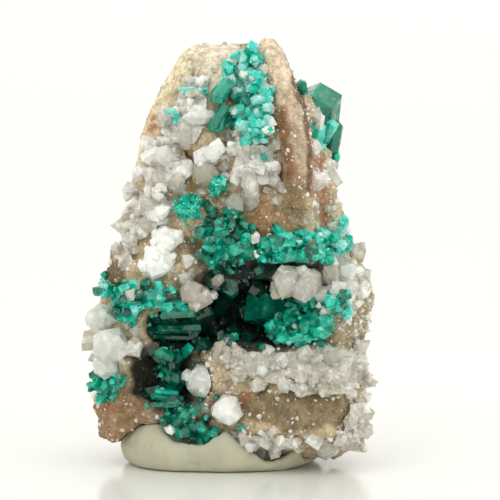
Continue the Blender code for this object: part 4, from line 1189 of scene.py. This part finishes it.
def crystals_placed(name, placed, mineral):
    """One piece with every crystal of a list, each on what is seen at its foot, or else on the rock."""
    graph = bpy.context.evaluated_depsgraph_get()
    rock = BVHTree.FromObject(bpy.data.objects["limestone"], graph)
    bm = bmesh.new()
    tones = []
    for seed, (kind, (across, down), (right, fall, toward), radius, length, tone) in enumerate(placed):
        aim = VIEW_MIDDLE + Vector((across - PICTURE_MIDDLE, 0, 0)) * PICTURE_STEP
        aim += VIEW_UP * (PICTURE_MIDDLE - down) * PICTURE_STEP
        hit, foot = bpy.context.scene.ray_cast(graph, EYE, (aim - EYE).normalized())[:2]
        if not hit:
            foot = rock.find_nearest(aim)[0]
        elif kind == "needle":
            foot = foot + VIEW_BACK * NEEDLE_LIFT
        shape, sizes = PLACED_SHAPES[kind]
        mesh = shape("placed", length / radius, *sizes, seed)
        axis = (Vector((right, 0, 0)) - VIEW_UP * fall + VIEW_BACK * toward).normalized()
        stand = axis.to_track_quat("Z", "Y").to_matrix().to_4x4()
        turn = Matrix.Rotation(seed * PLACED_TURN, 4, "Z")
        mesh.transform(Matrix.Translation(foot) @ stand @ turn @ Matrix.Scale(radius, 4))
        bm.from_mesh(mesh)
        tones += [tone] * len(mesh.vertices)
    mesh = bpy.data.meshes.new(name)
    bm.to_mesh(mesh)
    bm.free()
    put_numbers(mesh, "tone", tones)
    put_numbers(mesh, "whole", np.full(len(tones), PLACED_WHOLE))
    mesh.materials.append(finish_of(mineral))
    return settled(linked(name, mesh), mineral)


class SPECIMEN_OT_placed(bpy.types.Operator):
    """Sets the single crystals that stand out by themselves"""

    bl_idname = "specimen.placed"
    bl_label = "Single crystals"

    def execute(self, context):
        crystals_placed("dioptase_singles", PLACED_DIOPTASE, "dioptase")
        crystals_placed("quartz_singles", PLACED_QUARTZ, "quartz")
        return {"FINISHED"}


class SPECIMEN_OT_druse(bpy.types.Operator):
    """Covers the rock with its small clear crystals and sugary grains"""

    bl_idname = "specimen.druse"
    bl_label = "Druse"

    def execute(self, context):
        for name, mask, kind, seed, spacing, sizes, tones, lean, forward in (
            ("druse_lumps", "clear", "block", 600, 2.0, (0.45, 1.15), (0.0, 0.9), 0.9, 0.35),
            ("druse_crystals", "clear", "quartz", 610, 1.05, (0.22, 1.0), (0.0, 1.0), 0.9, 0.35),
            ("druse_fine", "fine", "quartz", 620, 0.55, (0.14, 0.38), (0.2, 1.0), 0.6, 0.35),
            ("druse_sugar", "sugar", "grain", 630, 0.42, (0.06, 0.16), (0.2, 1.0), 0.6, 0.35),
            ("druse_sides", "side", "quartz", 640, 1.2, (0.25, 0.75), (0.1, 0.9), 0.6, 0.0),
        ):
            grown_on_rock(name, mask, kind, "quartz", seed, spacing, sizes, tones, lean, forward)
        return {"FINISHED"}


class SPECIMEN_OT_small_dioptase(bpy.types.Operator):
    """Grows small dioptase crystals on the rock between the crusts and in the vug"""

    bl_idname = "specimen.small_dioptase"
    bl_label = "Small dioptase"

    def execute(self, context):
        for name, mask, seed, spacing, sizes, tones in (
            ("dioptase_between", "green", 700, 0.85, (0.22, 0.66), (0.3, 1.0)),
            # In the vug the crystals take the darkest tones, near black: painted shade of the cavity.
            ("dioptase_in_vug", "deep", 710, 1.4, (0.4, 1.05), (0.0, 0.22)),
        ):
            grown_on_rock(name, mask, "dioptase", "dioptase", seed, spacing, sizes, tones)
        return {"FINISHED"}


class SPECIMEN_OT_stage(bpy.types.Operator):
    """Sets the pale floor, the soft light and the camera"""

    bl_idname = "specimen.stage"
    bl_label = "Stage"

    def light_tent(self, stage):
        """White light all round, brightest above and behind, dimmer low in front."""
        world = bpy.data.worlds.new("Light tent")
        world.use_nodes = True
        tent = NodeTree(world.node_tree)
        across = tent.node("ShaderNodeSeparateXYZ", None, {
            0: tent.node("ShaderNodeTexCoord", output="Generated"),
        })
        away, up = across.other(1), across.other(2)
        seen = tent.node("ShaderNodeLightPath", output="Is Camera Ray")
        strength = 0.88 + 0.40 * up + 0.14 * away + 0.06 * across
        sky = tent.tree.nodes["Background"]
        sky.inputs["Color"].default_value = (*stage.backdrop, 1)
        put(tent.tree, sky.inputs["Strength"], seen + (1 - seen) * strength)
        return world

    def execute(self, context):
        scene = context.scene
        stage = scene.specimen_stage
        bm = bmesh.new()
        bmesh.ops.create_grid(bm, x_segments=1, y_segments=1, size=FLOOR_HALF)
        mesh = bpy.data.meshes.new("floor")
        bm.to_mesh(mesh)
        bm.free()
        floor = linked("floor", mesh)
        floor.location = (0, 0, -FLOOR_DROP)
        mesh.materials.append(finish_of("floor"))
        scene.world = self.light_tent(stage)
        for name, (place, size, share) in LIGHTS.items():
            light = bpy.data.lights.new(name, "AREA")
            light.size = size
            light.energy = stage.key * share
            lamp = linked(name, light)
            lamp.location = place
            lamp.rotation_euler = (VIEW_MIDDLE - Vector(place)).to_track_quat("-Z", "Y").to_euler()
        camera = linked("camera", bpy.data.cameras.new("camera"))
        camera.location = EYE
        camera.rotation_euler = (-VIEW_BACK).to_track_quat("-Z", "Y").to_euler()
        camera.data.lens = VIEW_LENS
        camera.data.clip_start = 0.01
        camera.data.clip_end = 10
        scene.camera = camera
        scene.view_settings.view_transform = "Standard"
        return {"FINISHED"}


class SPECIMEN_PT_panel(bpy.types.Panel):
    """Lists the specimen's pieces in the order that they are made"""

    bl_label = "Specimen"
    bl_idname = "SPECIMEN_PT_panel"
    bl_space_type = "VIEW_3D"
    bl_region_type = "UI"
    bl_category = "Specimen"

    def draw(self, context):
        for operator in OPERATORS:
            self.layout.operator(operator.bl_idname)


OPERATORS = (
    SPECIMEN_OT_rock, SPECIMEN_OT_putty, SPECIMEN_OT_dioptase, SPECIMEN_OT_large_dioptase, SPECIMEN_OT_quartz,
    SPECIMEN_OT_lumps, SPECIMEN_OT_small_dioptase, SPECIMEN_OT_druse, SPECIMEN_OT_placed, SPECIMEN_OT_stage,
)
GROUPS = {
    "specimen_rock": RockSettings,
    "specimen_crystals": CrystalSettings,
    "specimen_putty": PuttySettings,
    "specimen_stage": StageSettings,
}


def register():
    for cls in (*GROUPS.values(), *OPERATORS, SPECIMEN_PT_panel):
        bpy.utils.register_class(cls)
    for name, group in GROUPS.items():
        setattr(bpy.types.Scene, name, PointerProperty(type=group))


def unregister():
    for name in GROUPS:
        delattr(bpy.types.Scene, name)
    for cls in reversed((*GROUPS.values(), *OPERATORS, SPECIMEN_PT_panel)):
        bpy.utils.unregister_class(cls)


def main():
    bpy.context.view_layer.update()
    register()
    for operator in OPERATORS:
        group, name = operator.bl_idname.split(".")
        getattr(getattr(bpy.ops, group), name)()
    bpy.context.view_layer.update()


if __name__ == "__main__":
    main()
